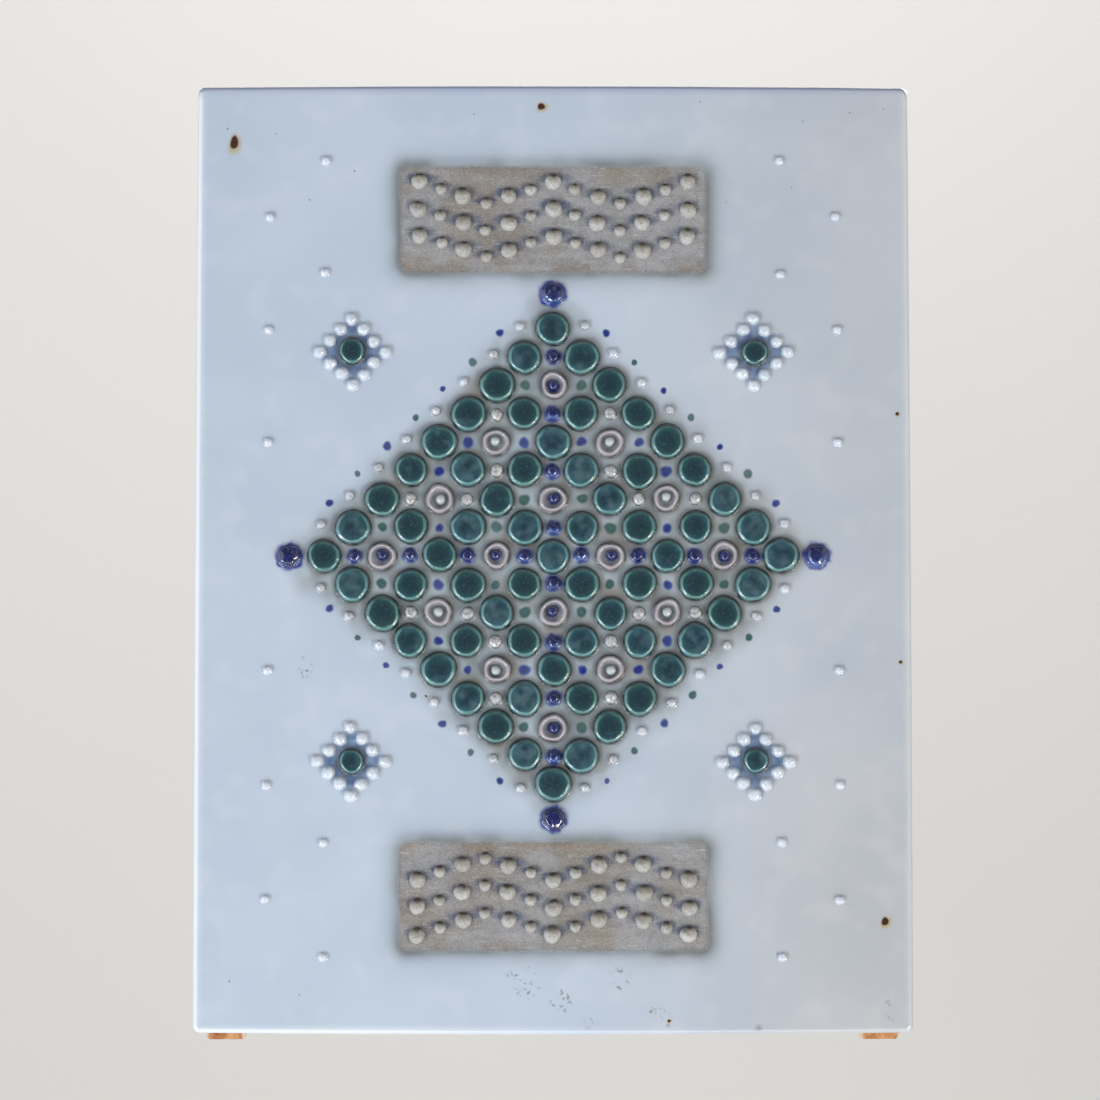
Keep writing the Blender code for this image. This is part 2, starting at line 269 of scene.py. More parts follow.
def lozenge_buttons():
    """Plain buttons, ringed buttons, and a 1 for each ringed button with a cobalt bead."""
    discs, domes, cores = [], [], []
    for u in range(STEPS + 1):
        for v in range(STEPS + 1):
            x, z = lattice_point(u, v)
            if u % 2 and v % 2:
                domes.append(hand_made(x, z, DOME_DIAMETER, DOME_HEIGHT, (u, v)))
                cores.append(1.0 if u == v or u + v == STEPS else 0.0)
            else:
                discs.append(hand_made(x, z, DISC_DIAMETER, DISC_HEIGHT, (u, v)))
    return discs, domes, cores


def lozenge_gaps():
    """What lies between the buttons: white pearls, cobalt pearls and painted dots."""
    white, cobalt, dots = [], [], []
    for u in range(STEPS):
        for v in range(STEPS):
            x, z = lattice_point(u + 0.5, v + 0.5)
            pearl = hand_made(x, z, PEARL_DIAMETER, PEARL_HEIGHT, (u + 0.5, v + 0.5))
            from_middle = abs(2 * u + 1 - STEPS), abs(2 * v + 1 - STEPS)
            if from_middle[0] == from_middle[1]:
                cobalt.append(pearl)
            elif sum(from_middle) // 2 % 2:
                white.append(pearl)
            else:
                blue = 1.0 if sum(from_middle) == STEPS else 0.0
                radius = DOT_RADIUS * (1.0 + 0.2 * wobble(u, v, 70))
                dots.append((pearl[0], pearl[1], radius, blue))
    return white, cobalt, dots


def lozenge_border():
    """Small pearls and painted dots by turns, outside the lozenge's four sides."""
    seeds, dots = [], []
    far = STEPS + SEED_OFFSET, -SEED_OFFSET
    outer = STEPS + OUTER_DOT_OFFSET, -OUTER_DOT_OFFSET
    for k in range(STEPS):
        along = k + 0.5
        places = (far[0], along), (far[1], along), (along, far[0]), (along, far[1])
        for side, (u, v) in enumerate(places):
            x, z = lattice_point(u, v)
            seeds.append(hand_made(x, z, SEED_DIAMETER, SEED_HEIGHT, (k, side, 80)))
    for k in range(1, STEPS):
        places = (outer[0], k), (outer[1], k), (k, outer[0]), (k, outer[1])
        for side, (u, v) in enumerate(places):
            x, z = lattice_point(u, v)
            radius = OUTER_DOT_RADIUS * (1.0 + 0.25 * wobble(k, side, 81))
            shift = HAND_SHIFT * wobble(k, side, 82), HAND_SHIFT * wobble(k, side, 83)
            dots.append((x + shift[0], z + shift[1], radius, float(k % 2)))
    return seeds, dots


def tip_drops():
    reach = LOZENGE_REACH + DISC_DIAMETER / 2 + DROP_GAP + DROP_DIAMETER / 2
    places = ((reach, 0.0), (0.0, reach), (-reach, 0.0), (0.0, -reach))
    return [hand_made(x, z, DROP_DIAMETER, DROP_HEIGHT, (k, 40)) for k, (x, z) in enumerate(places)]


def clusters():
    step = CLUSTER_PITCH / sqrt(2.0)
    clear = CLUSTER_DISC_DIAMETER / 2 + CLUSTER_GAP + CLUSTER_PEARL_DIAMETER / 2
    discs, pearls = [], []
    for quarter, (side_x, side_z) in enumerate(((1, 1), (-1, 1), (-1, -1), (1, -1))):
        x, z = side_x * CLUSTER_X, side_z * CLUSTER_Z
        discs.append(hand_made(x, z, CLUSTER_DISC_DIAMETER, CLUSTER_DISC_HEIGHT, (quarter, 50)))
        for u in range(CLUSTER_ROWS):
            for v in range(CLUSTER_ROWS):
                across, up = (u - v) * step, (u + v - CLUSTER_ROWS + 1) * step
                if hypot(across, up) > clear:
                    pearls.append(hand_made(x + across, z + up, CLUSTER_PEARL_DIAMETER,
                                            CLUSTER_PEARL_HEIGHT, (u, v, 50 + quarter)))
    return discs, pearls


def zigzag(place):
    """Goes from 1 to -1 and back every ZIGZAG_BEADS beads."""
    half = ZIGZAG_BEADS / 2
    return 2.0 * abs(place % ZIGZAG_BEADS - half) / half - 1.0


def bar_beads():
    columns = int((BAR_WIDTH - 2 * BAR_RIM) / BEAD_PITCH) + 1
    rows = int((BAR_HEIGHT - 2 * BAR_RIM - 2 * ZIGZAG) / ROW_PITCH) + 1
    beads = []
    for end in (1, -1):
        for row in range(rows):
            for column in range(columns):
                place = abs(column - (columns - 1) / 2)
                x = (column - (columns - 1) / 2) * BEAD_PITCH
                rise = (row - (rows - 1) / 2) * ROW_PITCH + ZIGZAG * zigzag(place)
                z = end * (BAR_Z + rise)
                diameter = SMALL_BEAD_DIAMETER if int(place) % 2 else LARGE_BEAD_DIAMETER
                beads.append(hand_made(x, z, diameter, BEAD_HEIGHT, (column, row + 10 * end, 60)))
    return beads


def margin_seeds():
    """Lone pearls in the margins, where the ringed buttons' lattice runs on past the lozenge."""
    half_cluster = CLUSTER_PITCH / sqrt(2.0) * CLUSTER_ROWS
    pitch = 2 * LATTICE_STEP
    across, up = int(HALF_WIDTH / pitch), int(HALF_HEIGHT / pitch)
    seeds = []
    for i in range(-across, across + 1):
        for j in range(-up, up + 1):
            x, z = i * pitch, j * pitch
            from_bar = float(bar_distance(np.array([x]), np.array([z]))[0])
            from_lozenge = (abs(x) + abs(z) - LOZENGE_EDGE) / sqrt(2.0)
            from_cluster = hypot(abs(x) - CLUSTER_X, abs(z) - CLUSTER_Z) - half_cluster
            from_drop = min(hypot(x - drop[0], z - drop[1]) for drop in DROPS)
            from_edge = min(HALF_WIDTH - abs(x), HALF_HEIGHT - abs(z))
            nearest = min(from_bar, from_lozenge, from_drop, from_edge)
            if (i + j) % 2 and nearest > MARGIN_CLEAR and from_cluster > 0.3 * MARGIN_CLEAR:
                seeds.append(hand_made(x, z, MARGIN_SEED * SEED_DIAMETER,
                                       MARGIN_SEED * SEED_HEIGHT, (i, j, 90)))
    return seeds


# Surface and colours of the front, for arrays of x and z

def bar_distance(xs, zs):
    """Distance to the outline of the nearer unglazed bar, negative inside it."""
    across = np.abs(xs) - BAR_WIDTH / 2 + BAR_CORNER
    up = np.abs(np.abs(zs) - BAR_Z) - BAR_HEIGHT / 2 + BAR_CORNER
    outside = np.hypot(np.maximum(across, 0.0), np.maximum(up, 0.0))
    return outside + np.minimum(np.maximum(across, up), 0.0) - BAR_CORNER


def front_y(xs, zs):
    """Gently uneven, sunk in the bars, with a roll of glaze round them."""
    edge = bar_distance(xs, zs)
    sink = BAR_SINK * (1.0 - smooth(-0.0010, 0.0009, edge))
    lip = BAR_LIP * np.exp(-((edge - 0.0020) / 0.0011) ** 2)
    ripple = PEEL * clouds(xs, zs, 0.009, 2)
    return FRONT + UNEVEN * clouds(xs, zs, 0.07, 1) + ripple + sink - lip


def bare_field(xs, zs):
    """1 where the clay is bare, with a hand-scraped edge."""
    edge = bar_distance(xs, zs) + 0.0007 * clouds(xs, zs, 0.012, 3)
    edge += 0.0003 * clouds(xs, zs, 0.003, 4)
    return 1.0 - smooth(-0.0012, 0.0008, edge)


def wash_share(xs, zs):
    """How much of the grey wash lies on the glaze: all of it under the lozenge."""
    beyond = (np.abs(xs) + np.abs(zs) - LOZENGE_EDGE) / sqrt(2.0)
    return 1.0 - smooth(-0.003, 0.011, beyond + 0.006 * clouds(xs, zs, 0.018, 12, 2))


def glaze_colours(xs, zs):
    """The pale glaze, its grey wash under the lozenge, its dark roll round the bars, partly glaze and
    partly painted shade, and painted light falling off to the right.
    """
    colours = blend(smooth(-0.5, 0.5, clouds(xs, zs, 0.06, 10, 2)), GLAZE, GLAZE_DEEP)
    colours = blend(0.35 * smooth(0.0, 0.8, clouds(xs, zs, 0.012, 11, 2)), colours, GLAZE_PALE)
    tone = blend(smooth(-0.7, 0.7, clouds(xs, zs, 0.011, 13, 3)), WASH_LIGHT, WASH_DARK)
    tone = blend(0.7 * smooth(0.1, 0.7, clouds(xs, zs, 0.014, 16, 2)), tone, WASH_BROWN)
    thin = 0.82 + 0.18 * smooth(-0.5, 0.3, clouds(xs, zs, 0.022, 14, 2))
    colours = blend(wash_share(xs, zs) * thin, colours, tone)
    # Darker band round each bar: partly glaze rolled against it, partly painted shade
    edge = bar_distance(xs, zs) + 0.0006 * clouds(xs, zs, 0.012, 3)
    roll = np.exp(-(np.maximum(edge - 0.0004, 0.0) / 0.0038) ** 1.4)
    strength = 0.6 + 0.4 * smooth(-0.5, 0.5, clouds(xs, zs, 0.02, 15, 2))
    colours = blend(0.90 * roll * strength, colours, BAR_ROLL_AND_SHADE)
    # Painted light: the glaze darkens and turns warmer to the right, more so low down, as under a cool
    # lamp on the left and a warm one on the right
    drift = smooth(-0.01, 0.14, xs) * (1.0 + 0.45 * smooth(0.02, 0.16, -zs))
    return colours * (1.0 - drift[:, None] * np.array(PAINTED_LIGHT_FALLOFF))


def from_buttons(xs, zs, buttons):
    """Distance to the foot of the nearest button."""
    nearest = np.full(len(xs), SLAB_WIDTH)
    for x, z, radius, _ in buttons:
        nearest = np.minimum(nearest, np.hypot(xs - x, zs - z) - radius)
    return nearest


def pool_and_painted_shade(xs, zs, colours, buttons):
    """Darker glaze at the feet of the buttons and its brown fringe: partly pooled glaze, partly painted
    shade.
    """
    away = np.maximum(from_buttons(xs, zs, buttons), 0.0) * (1.0 + 0.3 * clouds(xs, zs, 0.004, 31))
    colours = blend(0.44 * np.exp(-away / 0.0019), colours, POOL_AND_SHADE_FAR)
    return blend(0.88 * np.exp(-(away / 0.0008) ** 1.5), colours, POOL_AND_SHADE_NEAR)


def cobalt_bleed(xs, zs, drops):
    """Thick cobalt that ran out from under the drops, with a ragged edge."""
    share = np.zeros(len(xs))
    ragged = clouds(xs, zs, 0.0030, 7, 2)
    for x, z, radius, _ in drops:
        away = np.hypot(xs - x, zs - z) / radius
        share = np.maximum(share, 1.0 - smooth(1.06, 1.46, away + 0.22 * ragged))
    return share


def cobalt_share(xs, zs, beads):
    """Cobalt wash in the clusters, and blue-grey patches between the bars' beads, over the upper half of
    each.
    """
    reach = CLUSTER_PITCH / sqrt(2.0) * (CLUSTER_ROWS - 1) + CLUSTER_PEARL_DIAMETER / 2
    off = np.abs(np.abs(xs) - CLUSTER_X) + np.abs(np.abs(zs) - CLUSTER_Z)
    off += 0.002 * clouds(xs, zs, 0.005, 6, 2)
    share = 0.92 * (1.0 - smooth(0.6 * reach, 1.12 * reach, off))
    share *= 0.75 + 0.25 * smooth(-0.3, 0.3, clouds(xs, zs, 0.003, 17, 2))
    ragged = clouds(xs, zs, 0.003, 8, 2)
    for x, z, radius, _ in beads:
        away = np.hypot((xs - x) / 2.5, (zs - z - 0.45 * radius) / 0.80) / radius
        strength = 0.75 + 0.25 * by_place(x, z, 2)
        strength *= 1.0 - smooth(-0.0045, -0.0010, bar_distance(xs, zs))
        share = np.maximum(share, strength * (1.0 - smooth(0.50, 1.15, away + 0.2 * ragged)))
    return share


def paint_dots(xs, zs, colours, dots):
    uneven = clouds(xs, zs, 0.0016, 18, 2)
    for x, z, radius, blue in dots:
        near = np.hypot(xs - x, zs - z) < 2 * radius
        share = spot_share(xs[near], zs[near], x, z, blot(x, z, radius))
        edge, middle = (PAINT_BLUE, PAINT_NAVY) if blue else (PAINT_GREEN, PAINT_THIN)
        tint = blend(1.0 - smooth(0.35, 0.9, share + 0.5 * uneven[near]), edge, middle)
        cover = 1.0 - smooth(0.72, 1.26, share + 0.10 * uneven[near])
        strength = 0.93 + 0.06 * by_place(x, z, 3)
        colours[near] = blend(strength * cover, colours[near], tint)
    return colours


def burn_spots(xs, zs, colours):
    for x, z, half_x, half_z, tilt in IRON_SPOTS:
        near = np.hypot(xs - x, zs - z) < 2.6 * max(half_x, half_z)
        share = spot_share(xs[near], zs[near], x, z, burnt(half_x, half_z, tilt))
        to_right = np.clip((xs[near] - x + z - zs[near]) / half_x, -1.0, 1.0)
        halo = (1.0 - smooth(0.9, 1.9, share - 0.25 * to_right)) * 0.75
        colours[near] = blend(halo, colours[near], IRON_HALO)
        colours[near] = blend(1.0 - smooth(0.78, 1.08, share), colours[near], IRON_CORE)
    return colours


def stain_marks(xs, zs, colours):
    """Grey specks, and clusters of grubby ones drawn out from the upper left to the lower right."""
    for x, z, radius in GREY_SPECKS:
        away = np.hypot(xs - x, zs - z) / radius
        colours = blend(0.75 * (1.0 - smooth(0.5, 1.25, away)), colours, SPECK)
    for x, z, radius in STAINS:
        near = np.hypot(xs - x, zs - z) < radius
        along, across = 0.8 * xs[near] - 0.6 * zs[near], 0.6 * xs[near] + 0.8 * zs[near]
        there = smooth(-0.05, 0.30, clouds(0.35 * along, across, 0.0028, 21, 2))
        specks = smooth(0.10, 0.36, clouds(xs[near], zs[near], 0.0014, 20, 2))
        fade = 1.0 - smooth(0.55, 1.0, np.hypot(xs[near] - x, zs[near] - z) / radius)
        colours[near] = blend(0.75 * specks * there * fade, colours[near], STAIN)
    return colours


def clay_colours(xs, zs, cobalt):
    """Grey clay, browner in patches, rusty here and there along the border, blue by the beads."""
    colours = blend(smooth(-0.3, 0.6, clouds(xs, zs, 0.028, 22, 3)), CLAY, CLAY_BROWN)
    border = smooth(-0.0070, -0.0012, bar_distance(xs, zs))
    rust = border * smooth(0.0, 0.6, clouds(xs, zs, 0.016, 23, 3))
    colours = blend(0.55 * rust, colours, CLAY_RUST)
    # The same darker band just inside each bar's edge, partly painted shade
    colours = blend(0.55 * smooth(-0.0020, -0.0002, bar_distance(xs, zs)), colours, BAR_ROLL_AND_SHADE)
    bands = smooth(-0.5, 0.5, clouds(0.2 * xs, zs, 0.0035, 24, 2))
    colours = colours * (0.90 + 0.16 * bands)[:, None]
    return blend(0.9 * cobalt, colours, CLAY_BLUE)


def ground_colours(xs, zs, layout, fine=False):
    """Colours of the front, and how bare the clay is; spots and stains only on fine meshes."""
    cobalt = cobalt_share(xs, zs, layout["beads"])
    colours = glaze_colours(xs, zs)
    depth = blend(smooth(-0.6, 0.3, clouds(xs, zs, 0.003, 5, 2)), COBALT_PALE, COBALT_DARK)
    colours = blend(cobalt, colours, depth)
    colours = pool_and_painted_shade(xs, zs, colours, layout["buttons"])
    colours = blend(0.95 * cobalt_bleed(xs, zs, layout["cobalt"]), colours, COBALT_BLEED)
    if fine:
        colours = paint_dots(xs, zs, colours, layout["dots"])
        colours = stain_marks(xs, zs, colours)
        colours = burn_spots(xs, zs, colours)
    bare = bare_field(xs, zs)
    return blend(bare, colours, clay_colours(xs, zs, cobalt)), bare


# Points of the front's mesh

class Points:
    """Points that lie close together where paint, a stain or an edge needs it."""

    def __init__(self):
        self.places = []
        self.kept_clear = []

    def rings(self, x, z, radii, reach, count, clear):
        """Rings round a spot whose outline is given by a function of the angle."""
        self.places.append((x, z))
        for ring, share in enumerate(radii):
            for k in range(count):
                reach_x, reach_z = reach(tau * (k + 0.5 * (ring % 2)) / count)
                self.places.append((x + share * reach_x, z + share * reach_z))
        self.kept_clear.append((x, z, clear))

    def fill(self, low, high, spacing, inside):
        """A triangular grid between two corners, where nothing else is."""
        rows = int((high[1] - low[1]) / (spacing * 0.866))
        columns = int((high[0] - low[0]) / spacing)
        row, column = np.mgrid[0:rows + 1, 0:columns + 1]
        xs = (low[0] + (high[0] - low[0]) * (column + 0.5 * (row % 2)) / (columns + 0.5)).ravel()
        zs = (low[1] + (high[1] - low[1]) * row / rows).ravel()
        free = inside(xs, zs)
        for x, z, clear in self.kept_clear:
            free &= np.hypot(xs - x, zs - z) > clear
        self.places += list(zip(xs[free], zs[free]))

    def patch(self, x, z, radius, spacing, half_x, half_z):
        """Closely spaced points in a round patch that keeps off the slab's edge."""
        def inside(xs, zs):
            on_slab = (np.abs(xs) < half_x) & (np.abs(zs) < half_z)
            return on_slab & (bar_distance(xs, zs) > BAR_BAND) & (np.hypot(xs - x, zs - z) < radius)
        self.fill((x - radius, z - radius), (x + radius, z + radius), spacing, inside)
        self.kept_clear.append((x, z, radius + spacing))


def blot(x, z, radius):
    """Outline of a hand-painted dot as a function of the angle."""
    first, second = 3.0 * by_place(x, z), 3.0 * by_place(x, z, 1)

    def reach(angle):
        swell = 1.0 + 0.07 * sin(2 * angle + first) + 0.04 * sin(3 * angle + second)
        return radius * swell * cos(angle), radius * swell * sin(angle)
    return reach


def burnt(half_x, half_z, tilt):
    """Outline of an iron spot: a tilted oval."""
    def reach(angle):
        swell = 1.0 + 0.06 * sin(3 * angle + half_x * 5000)
        x, z = swell * half_x * cos(angle), swell * half_z * sin(angle)
        return x * cos(tilt) - z * sin(tilt), x * sin(tilt) + z * cos(tilt)
    return reach


def spot_share(xs, zs, x, z, reach):
    """Distance from a spot's middle, in shares of its own outline in that direction."""
    outline_points = np.array([reach(tau * k / 72) for k in range(72)])
    limits = np.hypot(*outline_points.T)
    angles = np.arctan2(*outline_points.T[::-1])
    order = np.argsort(angles)
    limit = np.interp(np.arctan2(zs - z, xs - x), angles[order], limits[order], period=tau)
    return np.hypot(xs - x, zs - z) / limit


def quarter_turn(steps):
    return [pi / 2 * k / steps for k in range(steps + 1)]


def rounded_rectangle(half_x, half_z, radius, between, corner_steps):
    """Points round a rectangle with round corners: between is the steps along each side."""
    corners = []
    for quarter, (side_x, side_z) in enumerate(((1, -1), (1, 1), (-1, 1), (-1, -1))):
        start = (quarter - 1) * pi / 2
        angles = [start + turn for turn in quarter_turn(corner_steps)]
        corners.append([(side_x * (half_x - radius) + radius * cos(a),
                         side_z * (half_z - radius) + radius * sin(a)) for a in angles])
    points = []
    for side, (arc, following) in enumerate(zip(corners, corners[1:] + corners[:1])):
        points += arc
        (x0, z0), (x1, z1) = arc[-1], following[0]
        count = between[side % 2]
        points += [(x0 + (x1 - x0) * k / count, z0 + (z1 - z0) * k / count) for k in range(1, count)]
    return points


# Slab

def outline(inset):
    """The slab's outline moved in by inset; every inset gives the same number of points."""
    radius = max(CORNER_RADIUS - inset, 0.25 * CORNER_RADIUS)
    points = rounded_rectangle(HALF_WIDTH - inset, HALF_HEIGHT - inset, radius, (160, 120), 8)
    return [hand_cut(x, z) for x, z in points]


def hand_cut(x, z):
    """Bows a point of the outline outwards and lets it wander a little inwards."""
    across, up = 2 * x / SLAB_WIDTH, 2 * z / SLAB_HEIGHT
    wander = EDGE_WANDER * (0.5 + 0.5 * noise.noise((x / 0.03, z / 0.03, 60.0)))
    return (x + SIDE_BOW * across * (1.0 - up ** 2) - wander * across,
            z + END_BOW * up * (1.0 - across ** 2) - wander * up)


def slot_outline(steps=14):
    points = []
    for side, start in ((1, -pi / 2), (-1, pi / 2)):
        for k in range(steps + 1):
            angle = start + pi * k / steps
            points.append((side * SLOT_END + SLOT_HEIGHT / 2 * cos(angle),
                           SLOT_Z + SLOT_HEIGHT / 2 * sin(angle)))
    return points


def from_slot(x, z):
    """Distance to the slot's outline, negative inside it."""
    return np.hypot(np.maximum(np.abs(x) - SLOT_END, 0.0), z - SLOT_Z) - SLOT_HEIGHT / 2


def triangulate(border, inner, holes=()):
    """Triangles over a border and inner points: the points, and the faces, anticlockwise."""
    points = list(border)
    edges = [(i, (i + 1) % len(border)) for i in range(len(border))]
    for hole in holes:
        start = len(points)
        points += hole
        edges += [(start + i, start + (i + 1) % len(hole)) for i in range(len(hole))]
    points += inner
    places, _, faces, *_ = delaunay_2d_cdt([Vector(p) for p in points], edges, [], 1, 1e-7)
    places = np.array([tuple(p) for p in places])
    faces = np.array(faces)
    first, second, third = (places[faces[:, k]] for k in range(3))
    area = (second[:, 0] - first[:, 0]) * (third[:, 1] - first[:, 1])
    area -= (second[:, 1] - first[:, 1]) * (third[:, 0] - first[:, 0])
    faces[area < 0] = faces[area < 0][:, ::-1]
    return places, faces[np.abs(area) > SLIVER]


def add_ring(bm, ring):
    return [bm.verts.new(point) for point in ring]


def bridge(bm, rings):
    """Joins each ring of points to the next."""
    for near, far in zip(rings, rings[1:]):
        for i in range(len(near)):
            j = (i + 1) % len(near)
            bm.faces.new((near[i], near[j], far[j], far[i]))


def finished_mesh(bm, name):
    """Turns every face outwards and gives the mesh."""
    bmesh.ops.recalc_face_normals(bm, faces=bm.faces)
    mesh = bpy.data.meshes.new(name)
    bm.to_mesh(mesh)
    bm.free()
    return mesh


def put(name, data):
    """A new object in the scene."""
    thing = bpy.data.objects.new(name, data)
    bpy.context.scene.collection.objects.link(thing)
    return thing


def side_rings():
    """Inset, depth and share of the front's swell, from the back's edge to the front's."""
    rings = []
    for angle in quarter_turn(3):
        rings.append((BACK_EDGE_RADIUS * (1.0 - sin(angle)),
                      -BACK_EDGE_RADIUS * (1.0 - cos(angle)), 0.0))
    wall = FRONT + FRONT_EDGE_RADIUS + BACK_EDGE_RADIUS
    rings += [(0.0, -BACK_EDGE_RADIUS + wall * k / 4, 0.0) for k in (1, 2, 3)]
    for angle in quarter_turn(10):
        rings.append((FRONT_EDGE_RADIUS * (1.0 - cos(angle)),
                      FRONT + FRONT_EDGE_RADIUS * (1.0 - sin(angle)), sin(angle)))
    return rings


def front_points(layout):
    points = Points()
    for x, z, radius, _ in layout["dots"]:
        points.rings(x, z, DOT_RINGS, blot(x, z, radius), 22, radius * DOT_RINGS[-1] + 0.0007)
    for x, z, half_x, half_z, tilt in IRON_SPOTS:
        spot, clear = burnt(half_x, half_z, tilt), max(half_x, half_z) * SPOT_RINGS[-1] + 0.0005
        points.rings(x, z, SPOT_RINGS, spot, 20, clear)
    for x, z, radius in GREY_SPECKS:
        points.rings(x, z, SPECK_RINGS, blot(x, z, radius), 10, radius * SPECK_RINGS[-1] + 0.0005)
    half_x = HALF_WIDTH - FRONT_EDGE_RADIUS - 0.7 * GRID
    half_z = HALF_HEIGHT - FRONT_EDGE_RADIUS - 0.7 * GRID
    for sign in (1, -1):
        for off in BAR_LINES:
            line = rounded_rectangle(BAR_WIDTH / 2 + off, BAR_HEIGHT / 2 + off, BAR_CORNER + off,
                                     (36, 100), 6)
            points.places += [(x, z + sign * BAR_Z) for x, z in line]
    for x, z, radius in STAINS:
        points.patch(x, z, radius, FINE_GRID, half_x, half_z)
    for x, z, radius, _ in layout["drops"]:
        points.patch(x, z, 1.7 * radius, FINE_GRID, half_x, half_z)

    def between_buttons(xs, zs):
        near = np.abs(xs) + np.abs(zs) < LOZENGE_EDGE + CLOSE_BAND
        return near & (from_buttons(xs, zs, layout["buttons"]) > -0.0006)

    def in_bars(xs, zs):
        return bar_distance(xs, zs) < -BAR_BAND

    def elsewhere(xs, zs):
        beyond = np.abs(xs) + np.abs(zs) > LOZENGE_EDGE + WIDE_BAND
        return beyond & (bar_distance(xs, zs) > BAR_BAND)

    reach = LOZENGE_EDGE + CLOSE_BAND
    points.fill((-reach, -reach), (reach, reach), CLOSE_GRID, between_buttons)
    for middle in (BAR_Z, -BAR_Z):
        low, high = middle - BAR_HEIGHT / 2, middle + BAR_HEIGHT / 2
        points.fill((-BAR_WIDTH / 2, low), (BAR_WIDTH / 2, high), CLOSE_GRID, in_bars)
    points.fill((-half_x, -half_z), (half_x, half_z), GRID, elsewhere)
    return points.places


def add_front(bm, layout):
    places, faces = triangulate(outline(FRONT_EDGE_RADIUS), front_points(layout))
    ys = front_y(*places.T)
    verts = [bm.verts.new((x, y, z)) for (x, z), y in zip(places, ys)]
    for face in faces:
        bm.faces.new([verts[i] for i in face])


def add_back(bm, spacing=0.006):
    mouth = slot_outline()
    xs, zs = np.mgrid[-24:25, -32:33] * spacing
    free = from_slot(xs, zs) > 0.6 * spacing
    places, faces = triangulate(outline(BACK_EDGE_RADIUS), list(zip(xs[free], zs[free])), [mouth])
    verts = [bm.verts.new((x, 0.0, z)) for x, z in places]
    for face in faces:
        middle = places[face].mean(axis=0)
        if from_slot(*middle) > 0.0:
            bm.faces.new([verts[i] for i in reversed(face)])
    floor_y = SLOT_FLOOR - SLAB_THICKNESS
    rings = [add_ring(bm, [(x, y, z) for x, z in mouth]) for y in (0.0, floor_y / 2, floor_y)]
    bridge(bm, rings)
    last = len(mouth) - 1
    for k in range(len(mouth) // 2 - 1):
        bm.faces.new([rings[-1][i] for i in (k, k + 1, last - k - 1, last - k)])


def slab_mesh(layout):
    bm = bmesh.new()
    loops = []
    for inset, y, lift in side_rings():
        ring = outline(inset)
        swell = front_y(*np.array(ring).T) - FRONT
        loops.append(add_ring(bm, [(x, y + lift * s, z) for (x, z), s in zip(ring, swell)]))
    bridge(bm, loops)
    add_front(bm, layout)
    add_back(bm)
    bmesh.ops.remove_doubles(bm, verts=bm.verts, dist=2e-6)
    return finished_mesh(bm, "slab")


def vertex_places(mesh):
    places = np.empty(3 * len(mesh.vertices))
    mesh.vertices.foreach_get("co", places)
    return places.reshape(-1, 3).T


def store(mesh, name, values):
    """Keeps a number or a colour for each vertex, where the materials read it."""
    values = np.asarray(values, dtype=np.float32)
    if values.ndim == 1:
        mesh.attributes.new(name, "FLOAT", "POINT").data.foreach_set("value", values)
        return
    colours = np.ones((len(values), 4), dtype=np.float32)
    colours[:, :3] = values
    mesh.attributes.new(name, "FLOAT_COLOR", "POINT").data.foreach_set("color", colours.ravel())


def make_piece(mesh, name, material):
    """Turns a mesh into a smooth-shaded piece that rides on the plaque."""
    mesh.materials.append(material)
    mesh.shade_smooth()
    mesh.set_sharp_from_angle(angle=radians(SHARP_ANGLE))
    piece = put(name, mesh)
    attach(piece, "root")
    return piece


def make_slab(layout, material):
    mesh = slab_mesh(layout)
    xs, ys, zs = vertex_places(mesh)
    front = ys < FRONT + 0.9 * FRONT_EDGE_RADIUS
    colours = glaze_colours(xs, zs)
    bare = np.zeros(len(xs))
    colours[front], bare[front] = ground_colours(xs[front], zs[front], layout, fine=True)
    inland = np.minimum(HALF_WIDTH - np.abs(xs), HALF_HEIGHT - np.abs(zs))
    rim = 1.0 - smooth(0.0002, 0.0040, inland)
    rim *= 1.0 - smooth(FRONT + 0.0028, FRONT + 0.0060, ys)
    # Painted light on the front's rounded edges: a painted highlight, strongest on the left and lower left
    # and weaker on the right, and painted shade along the top
    top, bottom = (smooth(*EDGE_Z, sign * zs) for sign in (1, -1))
    right, left = (smooth(*EDGE_X, sign * xs) for sign in (1, -1))
    low_left = smooth(0.08, -0.14, xs) * bottom
    white = np.maximum(0.74 * left, np.maximum(0.55 * low_left, 0.34 * right))
    colours = blend(rim * (1.0 - top) * white, colours, EDGE_PAINTED_HIGHLIGHT)
    colours = blend(0.7 * rim * top, colours, EDGE_PAINTED_SHADE)
    biscuit = np.tile(np.array(BACK_CLAY), (len(xs), 1))
    back = ~front
    toast = clouds(xs[back], zs[back], 0.05, 30, 3)
    near_edge = 1.0 - smooth(0.0, 0.9, inland[back] / 0.03 + 0.45 * toast)
    toasted = np.maximum(near_edge, 0.6 * smooth(0.2, 0.9, toast))
    biscuit[back] = blend(toasted, BACK_CLAY, BACK_TOASTED)
    store(mesh, "ground", colours)
    store(mesh, "bare", bare)
    store(mesh, "biscuit", biscuit)
    store(mesh, "slot", (from_slot(xs, zs) < 0.0003) & back & (ys > FRONT + 0.004))
    piece = make_piece(mesh, "slab", material)
    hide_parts("plaque")


